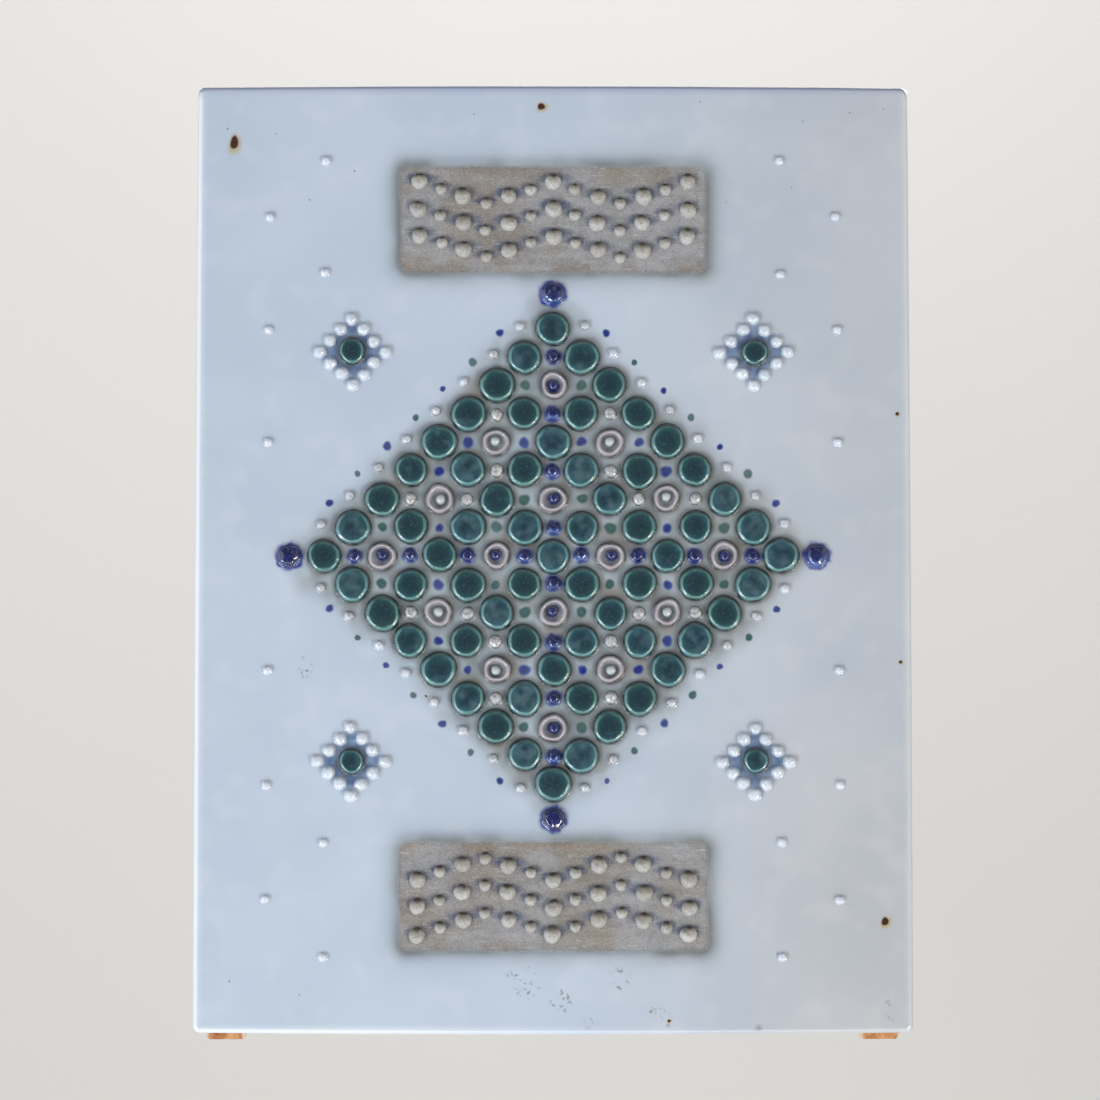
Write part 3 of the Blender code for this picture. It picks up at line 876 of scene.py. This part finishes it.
def make_feet(material):
    """Two rounded feet that run up into the slab, flush with its back."""
    base = -HALF_HEIGHT
    outer = HALF_WIDTH - FOOT_INSET
    inner = outer - FOOT_WIDTH
    turns = quarter_turn(8)
    right = [(outer, base + FOOT_ROOT), (inner, base + FOOT_ROOT)]
    right += [(inner + FOOT_CORNER * (1.0 - cos(a)), base - FOOT_DROP * sin(a)) for a in turns]
    right += [(inner + FOOT_CORNER + (FOOT_WIDTH - 2 * FOOT_CORNER) * k / 12, base - FOOT_DROP)
              for k in range(1, 12)]
    right += [(outer - FOOT_CORNER * (1.0 - cos(a)), base - FOOT_DROP * sin(a))
              for a in reversed(turns)]
    steps = ((0.0, 0.985), (-0.0003, 1.0), (-0.0020, 1.0), (-0.0040, 1.0), (-0.0058, 1.0),
             (-0.0066, 0.99), (-FOOT_DEPTH, 0.965))
    bm = bmesh.new()
    for sign in (1, -1):
        middle_x = sign * (outer + inner) / 2
        loops = []
        for y, share in steps:
            ring = []
            for x, z in right:
                rough = 0.0
                if z < base:
                    lump = sign * x / FOOT_LUMP, y / FOOT_LUMP, z / FOOT_LUMP
                    rough = FOOT_ROUGH * noise.noise(lump)
                deep = y + 0.5 * abs(rough) * (y < 0.0) if z <= base else min(y, -FOOT_BURIED)
                z = max(base + (z - base) * (share if z < base else 1.0) + rough, base - FOOT_DROP)
                ring.append((middle_x + (sign * x - middle_x) * share, deep, z))
            loops.append(add_ring(bm, ring))
        bm.faces.new(loops[0])
        bridge(bm, loops)
        bm.faces.new(loops[-1])
    make_piece(finished_mesh(bm, "feet"), "feet", material)


# Turned pieces of the relief. Profiles run from the rim of the glaze to the middle:
# share of the radius, share of the height.

DISC_PROFILE = ((1.24, 0.0), (1.13, 0.012), (1.06, 0.05), (1.015, 0.15), (0.995, 0.33), (0.98, 0.53),
                (0.955, 0.69), (0.92, 0.785), (0.83, 0.885), (0.78, 0.925), (0.70, 0.95), (0.50, 0.965),
                (0.25, 0.985), (0.0, 0.995))
DOME_PROFILE = ((1.20, 0.0), (1.08, 0.02), (1.01, 0.11), (0.99, 0.34), (0.94, 0.60), (0.87, 0.76),
                (0.79, 0.80), (0.71, 0.72), (0.64, 0.52), (0.56, 0.38), (0.47, 0.34), (0.41, 0.38),
                (0.375, 0.56), (0.31, 0.78), (0.18, 0.93), (0.0, 0.98))
PEARL_PROFILE = ((1.24, 0.0), (1.08, 0.03), (0.995, 0.13), (0.97, 0.34), (0.88, 0.62), (0.70, 0.83),
                 (0.42, 0.96), (0.0, 1.0))
BEAD_PROFILE = ((1.06, 0.0), (1.0, 0.05), (0.985, 0.18), (0.95, 0.40), (0.84, 0.66), (0.64, 0.86),
                (0.36, 0.97), (0.0, 1.0))


def rounded(points, steps):
    """A smooth curve through a profile's points, with the given steps in each stretch."""
    points = np.array(points)
    before = np.vstack([2 * points[0] - points[1], points[:-1]])
    after = np.vstack([points[1:], points[-2] * (-1.0, 1.0)])
    curve = []
    for i in range(len(points) - 1):
        slope = (points[i + 1] - before[i]) / 2
        next_slope = (after[i + 1] - points[i]) / 2
        for k in range(steps):
            t = k / steps
            curve.append((2 * t ** 3 - 3 * t ** 2 + 1) * points[i] + (t ** 3 - 2 * t ** 2 + t) * slope
                         + (3 * t ** 2 - 2 * t ** 3) * points[i + 1] + (t ** 3 - t ** 2) * next_slope)
    return np.array(curve)


class Kind:
    """How a kind of relief is turned and how far the hand shows in it."""

    def __init__(self, profile, steps, sides, wave, lump=0.0, lump_size=1.0, drift=0.0, tilt=0.03):
        self.profile, self.steps, self.sides = profile, steps, sides
        self.wave, self.lump, self.lump_size = wave, lump, lump_size
        self.drift, self.tilt = drift, tilt


def turned_body(kind, piece):
    """Points of one button, pearl or bead, rim first, with a buried base and a tip."""
    x, z, radius, height = piece
    key = x * 1000.0, z * 1000.0
    curve = rounded(kind.profile, kind.steps)
    share = np.concatenate([[kind.profile[0][0] * 0.94], curve[:, 0]])[:, None]
    rise = np.concatenate([[0.0], curve[:, 1]])[:, None]
    angles = tau * np.arange(kind.sides)[None, :] / kind.sides
    phase = [pi * wobble(*key, k) for k in range(3)]
    swell = kind.wave * (np.cos(2 * angles + phase[0]) + 0.6 * np.cos(3 * angles + phase[1])
                         + 0.35 * np.cos(5 * angles + phase[2]))
    reach = radius * share * (1.0 + swell * (0.4 + 0.6 * np.minimum(share, 1.0)))
    drift = kind.drift * radius * (1.0 - smooth(0.40, 0.80, share))
    dx = reach * np.cos(angles) + drift * wobble(*key, 6)
    dz = reach * np.sin(angles) + drift * wobble(*key, 7)
    surface = front_y((x + dx).ravel(), (z + dz).ravel()).reshape(dx.shape)
    lean = 1.0 + kind.tilt * (wobble(*key, 4) * dx + wobble(*key, 5) * dz) / radius
    ys = surface - height * rise * lean
    ys[1] += SKIRT_SUNK
    ys[0] = FRONT + SUNK
    if kind.lump:
        size = kind.lump_size * radius
        places = zip(dx.ravel(), ys.ravel(), dz.ravel())
        bump = np.array([noise.noise((px / size + key[0], py / size, pz / size + key[1]))
                         for px, py, pz in places]).reshape(dx.shape)
        bump *= kind.lump * (share < 1.02) * (share < kind.profile[0][0] * 0.99)
        bump[0] = 0.0
        dx, dz = dx * (1.0 + bump), dz * (1.0 + bump)
        ys -= bump * radius * np.minimum(rise * 1.5, 1.0)
    body = np.stack([x + dx, ys, z + dz], axis=-1).reshape(-1, 3)
    tip = [x + kind.drift * radius * wobble(*key, 6), ys[-1].mean(),
           z + kind.drift * radius * wobble(*key, 7)]
    shares = np.append(np.repeat(share.ravel(), kind.sides), 0.0)
    upper = np.append((dz / radius - 0.8 * (dx / radius) ** 2).ravel(), 0.0)
    return np.vstack([body, tip]), shares, upper


def turned_faces(rings, sides, start):
    faces = [tuple(start + i for i in reversed(range(sides)))]
    for ring in range(rings - 1):
        low, high = start + ring * sides, start + (ring + 1) * sides
        faces += [(low + i, low + (i + 1) % sides, high + (i + 1) % sides, high + i)
                  for i in range(sides)]
    last, tip = start + (rings - 1) * sides, start + rings * sides
    faces += [(last + i, last + (i + 1) % sides, tip) for i in range(sides)]
    return faces


def make_turned(name, pieces, kind, material, layout, cores=None):
    """One piece that holds every button, pearl or bead of a kind, each a closed body."""
    bodies = [turned_body(kind, piece) for piece in pieces]
    verts, radial, upper = (np.concatenate(parts) for parts in zip(*bodies))
    size = len(verts) // len(pieces)
    faces = []
    for start in range(0, len(verts), size):
        faces += turned_faces(size // kind.sides, kind.sides, start)
    seeds = [0.5 + 0.5 * by_place(x, z, 9) for x, z, _, _ in pieces]
    mesh = bpy.data.meshes.new(name)
    mesh.from_pydata(verts.tolist(), [], faces)
    xs, zs = verts[:, 0], verts[:, 2]
    skirt = radial > 0.96
    ground = np.tile(np.array(GLAZE), (len(xs), 1))
    ground[skirt], _ = ground_colours(xs[skirt], zs[skirt], layout)
    store(mesh, "ground", ground)
    store(mesh, "washed", wash_share(xs, zs))
    store(mesh, "radial", radial)
    store(mesh, "ring", radial + 0.07 * clouds(xs, zs, 0.0034, 32, 2))
    store(mesh, "haze", clouds(xs, zs, 0.0045, 33, 2))
    store(mesh, "seed", np.repeat(seeds, size))
    store(mesh, "upper", upper + 0.22 * clouds(2.5 * xs, zs, 0.0025, 34, 2))
    store(mesh, "core", np.repeat(cores or [0.0] * len(pieces), size))
    make_piece(mesh, name, material)


# Materials

class Look:
    """A material's nodes, with short calls for what the looks below are made of."""

    def __init__(self, name):
        self.material = bpy.data.materials.new(name)
        self.material.use_nodes = True
        self.tree = self.material.node_tree
        self.shader = self.tree.nodes["Principled BSDF"]
        self.where = self.tree.nodes.new("ShaderNodeTexCoord").outputs["Object"]

    def node(self, kind, inputs, **settings):
        node = self.tree.nodes.new(kind)
        for name, value in settings.items():
            setattr(node, name, value)
        for name, value in inputs.items():
            self.feed(node.inputs[name], value)
        return node

    def feed(self, socket, value):
        if isinstance(value, bpy.types.NodeSocket):
            self.tree.links.new(value, socket)
        elif isinstance(value, tuple) and socket.type == "RGBA":
            socket.default_value = (*value, 1.0)
        else:
            socket.default_value = value

    def math(self, operation, first, second=0.0):
        return self.node("ShaderNodeMath", {0: first, 1: second}, operation=operation).outputs[0]

    def times(self, first, second):
        return self.math("MULTIPLY", first, second)

    def plus(self, first, second):
        return self.math("ADD", first, second)

    def minus(self, first, second):
        return self.math("SUBTRACT", first, second)

    def mix(self, share, first, second):
        """A colour between two."""
        inputs = {0: share, 6: first, 7: second}
        return self.node("ShaderNodeMix", inputs, data_type="RGBA").outputs[2]

    def between(self, share, first, second):
        """A number between two."""
        return self.node("ShaderNodeMix", {0: share, 2: first, 3: second}).outputs[0]

    def layers(self, colour, *rows):
        """Lays colours over one: each row is a value, its range, the most it covers, a colour."""
        for value, low, high, cover, over in rows:
            colour = self.mix(self.step(low, high, value, cover), colour, srgb(*over))
        return colour

    def step(self, low, high, value, top=1.0):
        """From 0 where the value is low to top where it is high."""
        inputs = {"Value": value, "From Min": low, "From Max": high, "To Max": top}
        return self.node("ShaderNodeMapRange", inputs, interpolation_type="SMOOTHSTEP").outputs[0]

    def noise(self, size, detail=2.0, shift=0.0, roughness=0.5, stretch=None):
        where = self.where
        if shift or stretch:
            inputs = {"Vector": where, "Location": (shift, 0.7 * shift, 1.3 * shift)}
            inputs["Scale"] = stretch or (1.0, 1.0, 1.0)
            where = self.node("ShaderNodeMapping", inputs).outputs[0]
        inputs = {"Vector": where, "Scale": 1.0 / size, "Detail": detail, "Roughness": roughness}
        return self.node("ShaderNodeTexNoise", inputs).outputs["Fac"]

    def field(self, name):
        return self.node("ShaderNodeAttribute", {}, attribute_name=name).outputs["Fac"]

    def colour(self, name):
        return self.node("ShaderNodeAttribute", {}, attribute_name=name).outputs["Color"]

    def ramp(self, value, stops):
        node = self.node("ShaderNodeValToRGB", {"Fac": value})
        elements = node.color_ramp.elements
        while len(elements) < len(stops):
            elements.new(0.5)
        for element, (place, colour) in zip(elements, stops):
            element.position = place
            element.color = (*colour, 1.0)
        return node.outputs["Color"]

    def specks(self, cell, radius, share):
        """Small round specks in a share of the cells of the given size."""
        cells = self.node("ShaderNodeTexVoronoi", {"Vector": self.where, "Scale": 1.0 / cell})
        chance = self.node("ShaderNodeSeparateColor", {0: cells.outputs["Color"]})
        chosen = self.math("GREATER_THAN", chance.outputs[0], 1.0 - share)
        size = self.times(chance.outputs[1], radius / cell)
        over = self.minus(size, cells.outputs["Distance"])
        return self.times(chosen, self.step(0.0, 0.4 * radius / cell, over))

    def set(self, colour, roughness, height=None, depth=0.0002, coat=0.0):
        self.feed(self.shader.inputs["Base Color"], colour)
        self.feed(self.shader.inputs["Roughness"], roughness)
        self.feed(self.shader.inputs["Coat Weight"], coat)
        self.feed(self.shader.inputs["Coat Roughness"], 0.03)
        if height is not None:
            bump = self.node("ShaderNodeBump", {"Height": height, "Strength": 1.0, "Distance": depth})
            self.feed(self.shader.inputs["Normal"], bump.outputs["Normal"])
            self.feed(self.shader.inputs["Coat Normal"], bump.outputs["Normal"])


def slab_look():
    """Front in its own colours with fine mottling and specks; bare toasted clay at the back."""
    look = Look("white_glaze")
    bare = look.field("bare")
    mottle = look.noise(0.0026, 3.0)
    grain = look.noise(0.0008, 3.0, 1.0, 0.7)
    strokes = look.noise(0.0009, 2.0, 2.0, 0.6, (0.14, 1.0, 1.0))
    colour = look.layers(look.colour("ground"), (mottle, 0.45, 0.8, 0.03, (226, 232, 240)))
    for cell, share, cover in ((0.0055, 0.6, 0.40), (0.021, 0.4, 0.7)):
        colour = look.mix(look.times(look.specks(cell, 0.00055, share), cover), colour, SPECK)
    depth = look.node("ShaderNodeSeparateXYZ", {0: look.where}).outputs[1]
    line = look.plus(depth, look.step(0.0, 1.0, look.noise(0.012, 3.0, 3.0), 0.0022))
    colour = look.mix(look.step(-0.0033, -0.0015, line, 0.4), colour, EDGE_TOASTED)
    back = look.math("MAXIMUM", look.step(-0.0015, -0.0011, line), look.field("slot"))
    rough = look.math("MAXIMUM", bare, back)
    clay = look.mix(back, colour, look.colour("biscuit"))
    worn = look.times(look.step(0.50, 0.34, mottle, 0.24), bare)
    clay = look.mix(worn, clay, srgb(104, 100, 98))
    clay = look.layers(clay, (grain, 0.52, 0.30, 0.34, (92, 88, 88)),
                       (grain, 0.50, 0.72, 0.26, (204, 204, 206)),
                       (strokes, 0.58, 0.74, 0.22, (204, 204, 204)))
    colour = look.mix(rough, colour, clay)
    gloss = look.between(mottle, 0.07, 0.16)
    height = look.times(rough, look.plus(grain, look.times(strokes, 0.5)))
    look.set(colour, look.between(rough, gloss, 0.93), height, 0.00022, look.minus(1.0, rough))
    return look.material


def onto_ground(look, colour, roughness, height, low, high, depth, coat=1.0):
    """Fades a piece's glaze into the slab's surface at its foot."""
    foot = look.step(low, high, look.field("radial"))
    look.set(look.mix(foot, colour, look.colour("ground")), roughness, height, depth, coat)
    return look.material


def ring_stops(*stops):
    """Ramp stops from shares of the radius and the colours there."""
    return [(place / RAMP_END, srgb(*colour)) for place, colour in stops]


def ring_place(look, streak):
    """Where a point lies on such a ramp, a little out of true."""
    jitter = look.times(look.minus(streak, 0.5), 0.10)
    return look.math("DIVIDE", look.plus(look.field("ring"), jitter), RAMP_END)


def green_look():
    """Thick blue-green glaze: deep in the middle, thin and pale on the rim, dark at the foot, partly
    pooled glaze and partly painted shade, with painted shade over the upper rim.
    """
    look = Look("green_glaze")
    streak = look.noise(0.0010, 3.0, 0.0, 0.6)
    place = ring_place(look, streak)
    # The last stops, dark at the foot, are partly pooled glaze and partly painted shade
    green = look.ramp(place, ring_stops(
        (0.0, (8, 40, 48)), (0.42, (10, 46, 55)), (0.62, (18, 56, 62)), (0.76, (30, 72, 76)),
        (0.83, (76, 126, 124)), (0.90, (66, 112, 113)), (0.97, (54, 94, 95)), (1.03, (22, 36, 38))))
    blue = look.ramp(place, ring_stops(
        (0.0, (9, 43, 57)), (0.42, (12, 49, 64)), (0.62, (21, 61, 73)), (0.76, (34, 78, 89)),
        (0.83, (80, 132, 136)), (0.90, (69, 117, 122)), (0.97, (56, 97, 101)), (1.03, (22, 36, 40))))
    seed = look.field("seed")
    haze = look.field("haze")
    bluer = look.step(0.3, 0.8, look.plus(seed, look.times(haze, 0.4)))
    colour = look.mix(bluer, green, blue)
    inside = look.step(0.9, 0.6, look.field("radial"))
    milky = look.plus(seed, look.times(haze, 0.6))
    cloud = look.times(look.step(0.55, 1.35, milky, 0.5), inside)
    colour = look.mix(cloud, colour, srgb(88, 116, 124))
    # Painted shade: the upper side of the rim darkened, as if lit from below
    rim = look.step(0.70, 0.84, look.field("radial"), 0.65)
    painted_top_shade = look.times(look.step(0.05, 0.75, look.field("upper")), rim)
    colour = look.mix(painted_top_shade, colour, srgb(24, 46, 50))
    thread = look.times(look.step(0.52, 0.72, streak), look.times(inside, 0.34))
    colour = look.mix(thread, colour, srgb(58, 100, 106))
    roughness = look.between(streak, 0.06, 0.22)
    height = look.times(streak, look.between(inside, 1.0, 0.2))
    return onto_ground(look, colour, roughness, height, 1.03, 1.12, 0.00020)


def ring_look():
    """Ringed buttons: warm white on the ring, grey in the recess and dark at the foot, partly pooled glaze
    and partly painted shade, white or cobalt beads.
    """
    look = Look("ring_glaze")
    streak = look.noise(0.0010, 3.0)
    place = ring_place(look, streak)
    # The darkest stops, in the recess by the bead and at the foot, are partly painted shade
    white = look.ramp(place, ring_stops(
        (0.0, (188, 195, 201)), (0.30, (160, 169, 175)), (0.40, (96, 104, 108)), (0.52, (126, 131, 136)),
        (0.62, (146, 146, 152)), (0.72, (168, 164, 171)), (0.92, (163, 157, 164)), (1.00, (108, 103, 104)),
        (1.06, (56, 53, 54))))
    cobalt = look.mix(look.step(0.30, 0.42, place), srgb(10, 24, 92), white)
    colour = look.mix(look.field("core"), white, cobalt)
    blotch = look.step(0.0, 0.7, look.field("haze"), 0.5)
    colour = look.mix(look.times(blotch, look.step(0.5, 0.7, place)), colour, srgb(140, 136, 148))
    return onto_ground(look, colour, look.between(streak, 0.06, 0.2), streak, 1.04, 1.14, 0.00010)


def pearl_look():
    """Drops of white slip under the clear glaze, greyer in the wash and dark-edged there, partly pooled
    glaze and partly painted shade.
    """
    look = Look("pearl_glaze")
    streak = look.noise(0.0012, 3.0)
    washed = look.field("washed")
    clean = look.mix(look.step(0.3, 0.7, streak), srgb(206, 214, 225), srgb(192, 201, 215))
    grey = look.mix(look.step(0.35, 0.65, streak), srgb(182, 181, 182), srgb(128, 128, 130))
    body = look.mix(look.times(washed, 0.85), clean, grey)
    # Dark edge round the foot, strongest in the wash: partly pooled glaze, partly painted shade
    edge = look.times(look.step(0.80, 1.02, look.field("radial")), look.between(washed, 0.04, 0.85))
    colour = look.mix(edge, body, srgb(72, 72, 74))
    return onto_ground(look, colour, look.between(streak, 0.05, 0.2), streak, 1.0, 1.14, 0.00012)


def cobalt_look():
    """Heavy cobalt, almost black where it is thick, paler and bluer down the lower side of some."""
    look = Look("cobalt_glaze")
    streak = look.noise(0.0009, 4.0)
    body = look.mix(look.step(0.40, 0.75, streak), srgb(8, 14, 62), srgb(14, 38, 120))
    thin = look.step(-0.15, -0.80, look.field("upper"), 0.6)
    body = look.mix(look.times(thin, look.field("seed")), body, srgb(72, 108, 180))
    return onto_ground(look, body, look.between(streak, 0.05, 0.15), streak, 1.0, 1.14, 0.00004)


def bead_look():
    """Dry unglazed beads, pale below and dark brown on their upper sides, partly a scorched stain and
    partly painted shade.
    """
    look = Look("bisque")
    grain = look.noise(0.0009, 4.0, 1.0, 0.7)
    upper = look.field("upper")
    body = look.mix(look.field("seed"), srgb(184, 184, 183), srgb(165, 163, 160))
    body = look.layers(body, (grain, 0.50, 0.32, 0.55, (112, 107, 101)),
                       (grain, 0.52, 0.72, 0.40, (214, 215, 214)),
                       # Browner and then dark brown towards each bead's top: partly a stain, partly
                       # painted shade
                       (upper, -0.62, 0.38, 0.72, (126, 119, 106)),
                       (upper, 0.24, 0.86, 0.85, (60, 53, 45)))
    body = look.mix(look.times(look.specks(0.0045, 0.00035, 0.3), 0.8), body, srgb(40, 32, 28))
    return onto_ground(look, body, 0.9, grain, 0.98, 1.05, 0.00035, 0.0)


def foot_look():
    """Toasted clay, with cream glaze on the rounded ends and a painted shadow as a dark line under the
    slab.
    """
    look = Look("toasted_clay")
    grain = look.noise(0.0012, 4.0, 1.0, 0.7)
    blots = look.noise(0.0045, 3.0, 2.0)
    clay = look.mix(look.step(0.35, 0.65, blots), srgb(206, 152, 104), srgb(168, 108, 64))
    clay = look.mix(look.step(0.5, 0.34, grain, 0.7), clay, srgb(90, 58, 36))
    place = look.node("ShaderNodeSeparateXYZ", {0: look.where})
    middle = HALF_WIDTH - FOOT_INSET - FOOT_WIDTH / 2
    across = look.minus(look.math("ABSOLUTE", place.outputs[0]), middle)
    across = look.math("DIVIDE", look.math("ABSOLUTE", across), FOOT_WIDTH / 2)
    edge = look.plus(across, look.times(look.minus(blots, 0.5), 0.3))
    glazed = look.step(0.76, 0.92, edge)
    colour = look.mix(look.times(glazed, 0.75), clay, srgb(226, 208, 186))
    # Painted shadow: a dark line where the foot meets the slab's underside
    root = look.step(-HALF_HEIGHT - 0.0007, -HALF_HEIGHT, place.outputs[2], 0.8)
    colour = look.mix(root, colour, srgb(50, 38, 34))
    look.set(colour, look.between(glazed, 0.88, 0.25), grain, 0.00025)
    return look.material


# Stage, lights and camera

def paper_look():
    """Pale paper with a faint glow of its own, so it stays pale from every side."""
    look = Look("paper")
    look.set(look.mix(look.noise(0.9, 2.0), srgb(222, 220, 216), srgb(218, 216, 213)), 0.9)
    look.shader.inputs["Emission Color"].default_value = (1.0, 0.99, 0.97, 1.0)
    look.shader.inputs["Emission Strength"].default_value = 0.13
    return look.material


def make_stage():
    """A pale floor far below that curves up into a pale backdrop well behind."""
    floor_z, wall_y, bend, half_width, near_y, top_z = -2.6, 4.6, 1.6, 40.0, -40.0, 6.0
    path = [(near_y, floor_z), (wall_y - bend, floor_z)]
    for angle in quarter_turn(16)[1:]:
        path.append((wall_y - bend + bend * sin(angle), floor_z + bend * (1.0 - cos(angle))))
    path.append((wall_y, top_z))
    verts = [(side * half_width, y, z) for y, z in path for side in (-1, 1)]
    faces = [(2 * k, 2 * k + 1, 2 * k + 3, 2 * k + 2) for k in range(len(path) - 1)]
    mesh = bpy.data.meshes.new("floor")
    mesh.from_pydata(verts, [], faces)
    mesh.shade_smooth()
    mesh.materials.append(paper_look())
    floor = put("floor", mesh)


def add_light(name, place, target, width, length, power, colour):
    """A rectangular light whose long side leans from the side towards the front."""
    data = bpy.data.lights.new(name, "AREA")
    data.shape = "RECTANGLE"
    data.size, data.size_y = width, length
    data.energy = power
    data.color = colour
    light = put(name, data)
    away = (Vector(place) - Vector(target)).normalized()
    across = away.cross(Vector((0.0, -1.0, 0.0))).normalized()
    turn = Matrix((across, away.cross(across), away)).transposed().to_4x4()
    light.matrix_world = Matrix.Translation(place) @ turn
    light.visible_camera = False


def make_lights():
    middle = (0.0, FRONT, 0.0)
    add_light("window", (-2.1, -2.2, -1.75), middle, 1.7, 0.72, 57.0, (0.93, 0.98, 1.05))
    add_light("lamp", (2.1, -2.2, -1.60), middle, 1.4, 0.66, 50.0, (1.035, 1.0, 0.905))
    add_light("left", (-1.3, -0.6, 0.0), middle, 2.0, 2.0, 11.8, (0.97, 1.0, 1.02))
    add_light("right", (1.3, -0.6, 0.0), middle, 2.0, 2.0, 5.0, (1.04, 1.0, 0.94))
    add_light("low", (0.0, -0.8, -1.5), middle, 1.4, 0.5, 3.0, (1.0, 1.0, 1.0))
    add_light("sky", (0.4, -2.6, 2.6), middle, 2.0, 1.6, 5.0, (0.95, 0.97, 1.0))
    add_light("behind", (1.6, 2.6, 1.8), (0.0, 0.0, 0.0), 1.6, 1.6, 60.0, (1.0, 0.98, 0.95))
    add_light("wall", (0.0, 2.4, 3.0), (0.0, 4.6, 0.2), 2.4, 1.6, 60.0, (1.0, 1.0, 1.0))
    world = bpy.data.worlds.new("room")
    world.use_nodes = True
    background = world.node_tree.nodes["Background"]
    background.inputs["Color"].default_value = (0.96, 0.97, 1.0, 1.0)
    background.inputs["Strength"].default_value = 0.24
    bpy.context.scene.world = world


def make_camera():
    """Nearly square on and a little below the middle, as in the photograph."""
    distance, across, sensor = 1.5, 0.46404, 36.0
    tilt, turn = radians(3.69), radians(0.33)
    target = Vector((-0.0013, FRONT, 0.0025))
    ahead = Vector((sin(turn) * cos(tilt), cos(turn) * cos(tilt), sin(tilt)))
    data = bpy.data.cameras.new("camera")
    data.sensor_width = sensor
    data.lens = sensor * distance / across
    camera = put("camera", data)
    camera.location = target - distance * ahead
    camera.rotation_euler = ahead.to_track_quat("-Z", "Y").to_euler()
    bpy.context.scene.camera = camera


DROPS = tip_drops()

DISCS = Kind(DISC_PROFILE, 2, 40, 0.026, lump=0.011, lump_size=0.30, tilt=0.04)
DOMES = Kind(DOME_PROFILE, 2, 32, 0.045, lump=0.04, lump_size=0.8, drift=0.10)
PEARLS = Kind(PEARL_PROFILE, 2, 20, 0.035, lump=0.10, lump_size=0.7)
BERRIES = Kind(PEARL_PROFILE, 3, 40, 0.04, lump=0.08, lump_size=0.42)
DRY_BEADS = Kind(BEAD_PROFILE, 2, 22, 0.03, lump=0.12, lump_size=0.5, tilt=0.08)


def main():
    discs, domes, cores = lozenge_buttons()
    white, cobalt, dots = lozenge_gaps()
    seeds, outer_dots = lozenge_border()
    cluster_discs, cluster_pearls = clusters()
    beads = bar_beads()
    white += cluster_pearls + seeds + margin_seeds()
    layout = {"dots": dots + outer_dots, "drops": DROPS, "beads": beads,
              "buttons": discs + domes + cluster_discs, "cobalt": DROPS + cobalt}
    blue = cobalt_look()
    make_slab(layout, slab_look())
    make_feet(foot_look())
    make_turned("green_buttons", discs + cluster_discs, DISCS, green_look(), layout)
    make_turned("ringed_buttons", domes, DOMES, ring_look(), layout, cores)
    make_turned("white_pearls", white, PEARLS, pearl_look(), layout)
    make_turned("cobalt_pearls", cobalt, PEARLS, blue, layout)
    make_turned("cobalt_drops", DROPS, BERRIES, blue, layout)
    make_turned("bar_beads", beads, DRY_BEADS, bead_look(), layout)
    make_stage()
    make_lights()
    make_camera()
    bpy.context.scene.view_settings.view_transform = "Standard"


main()
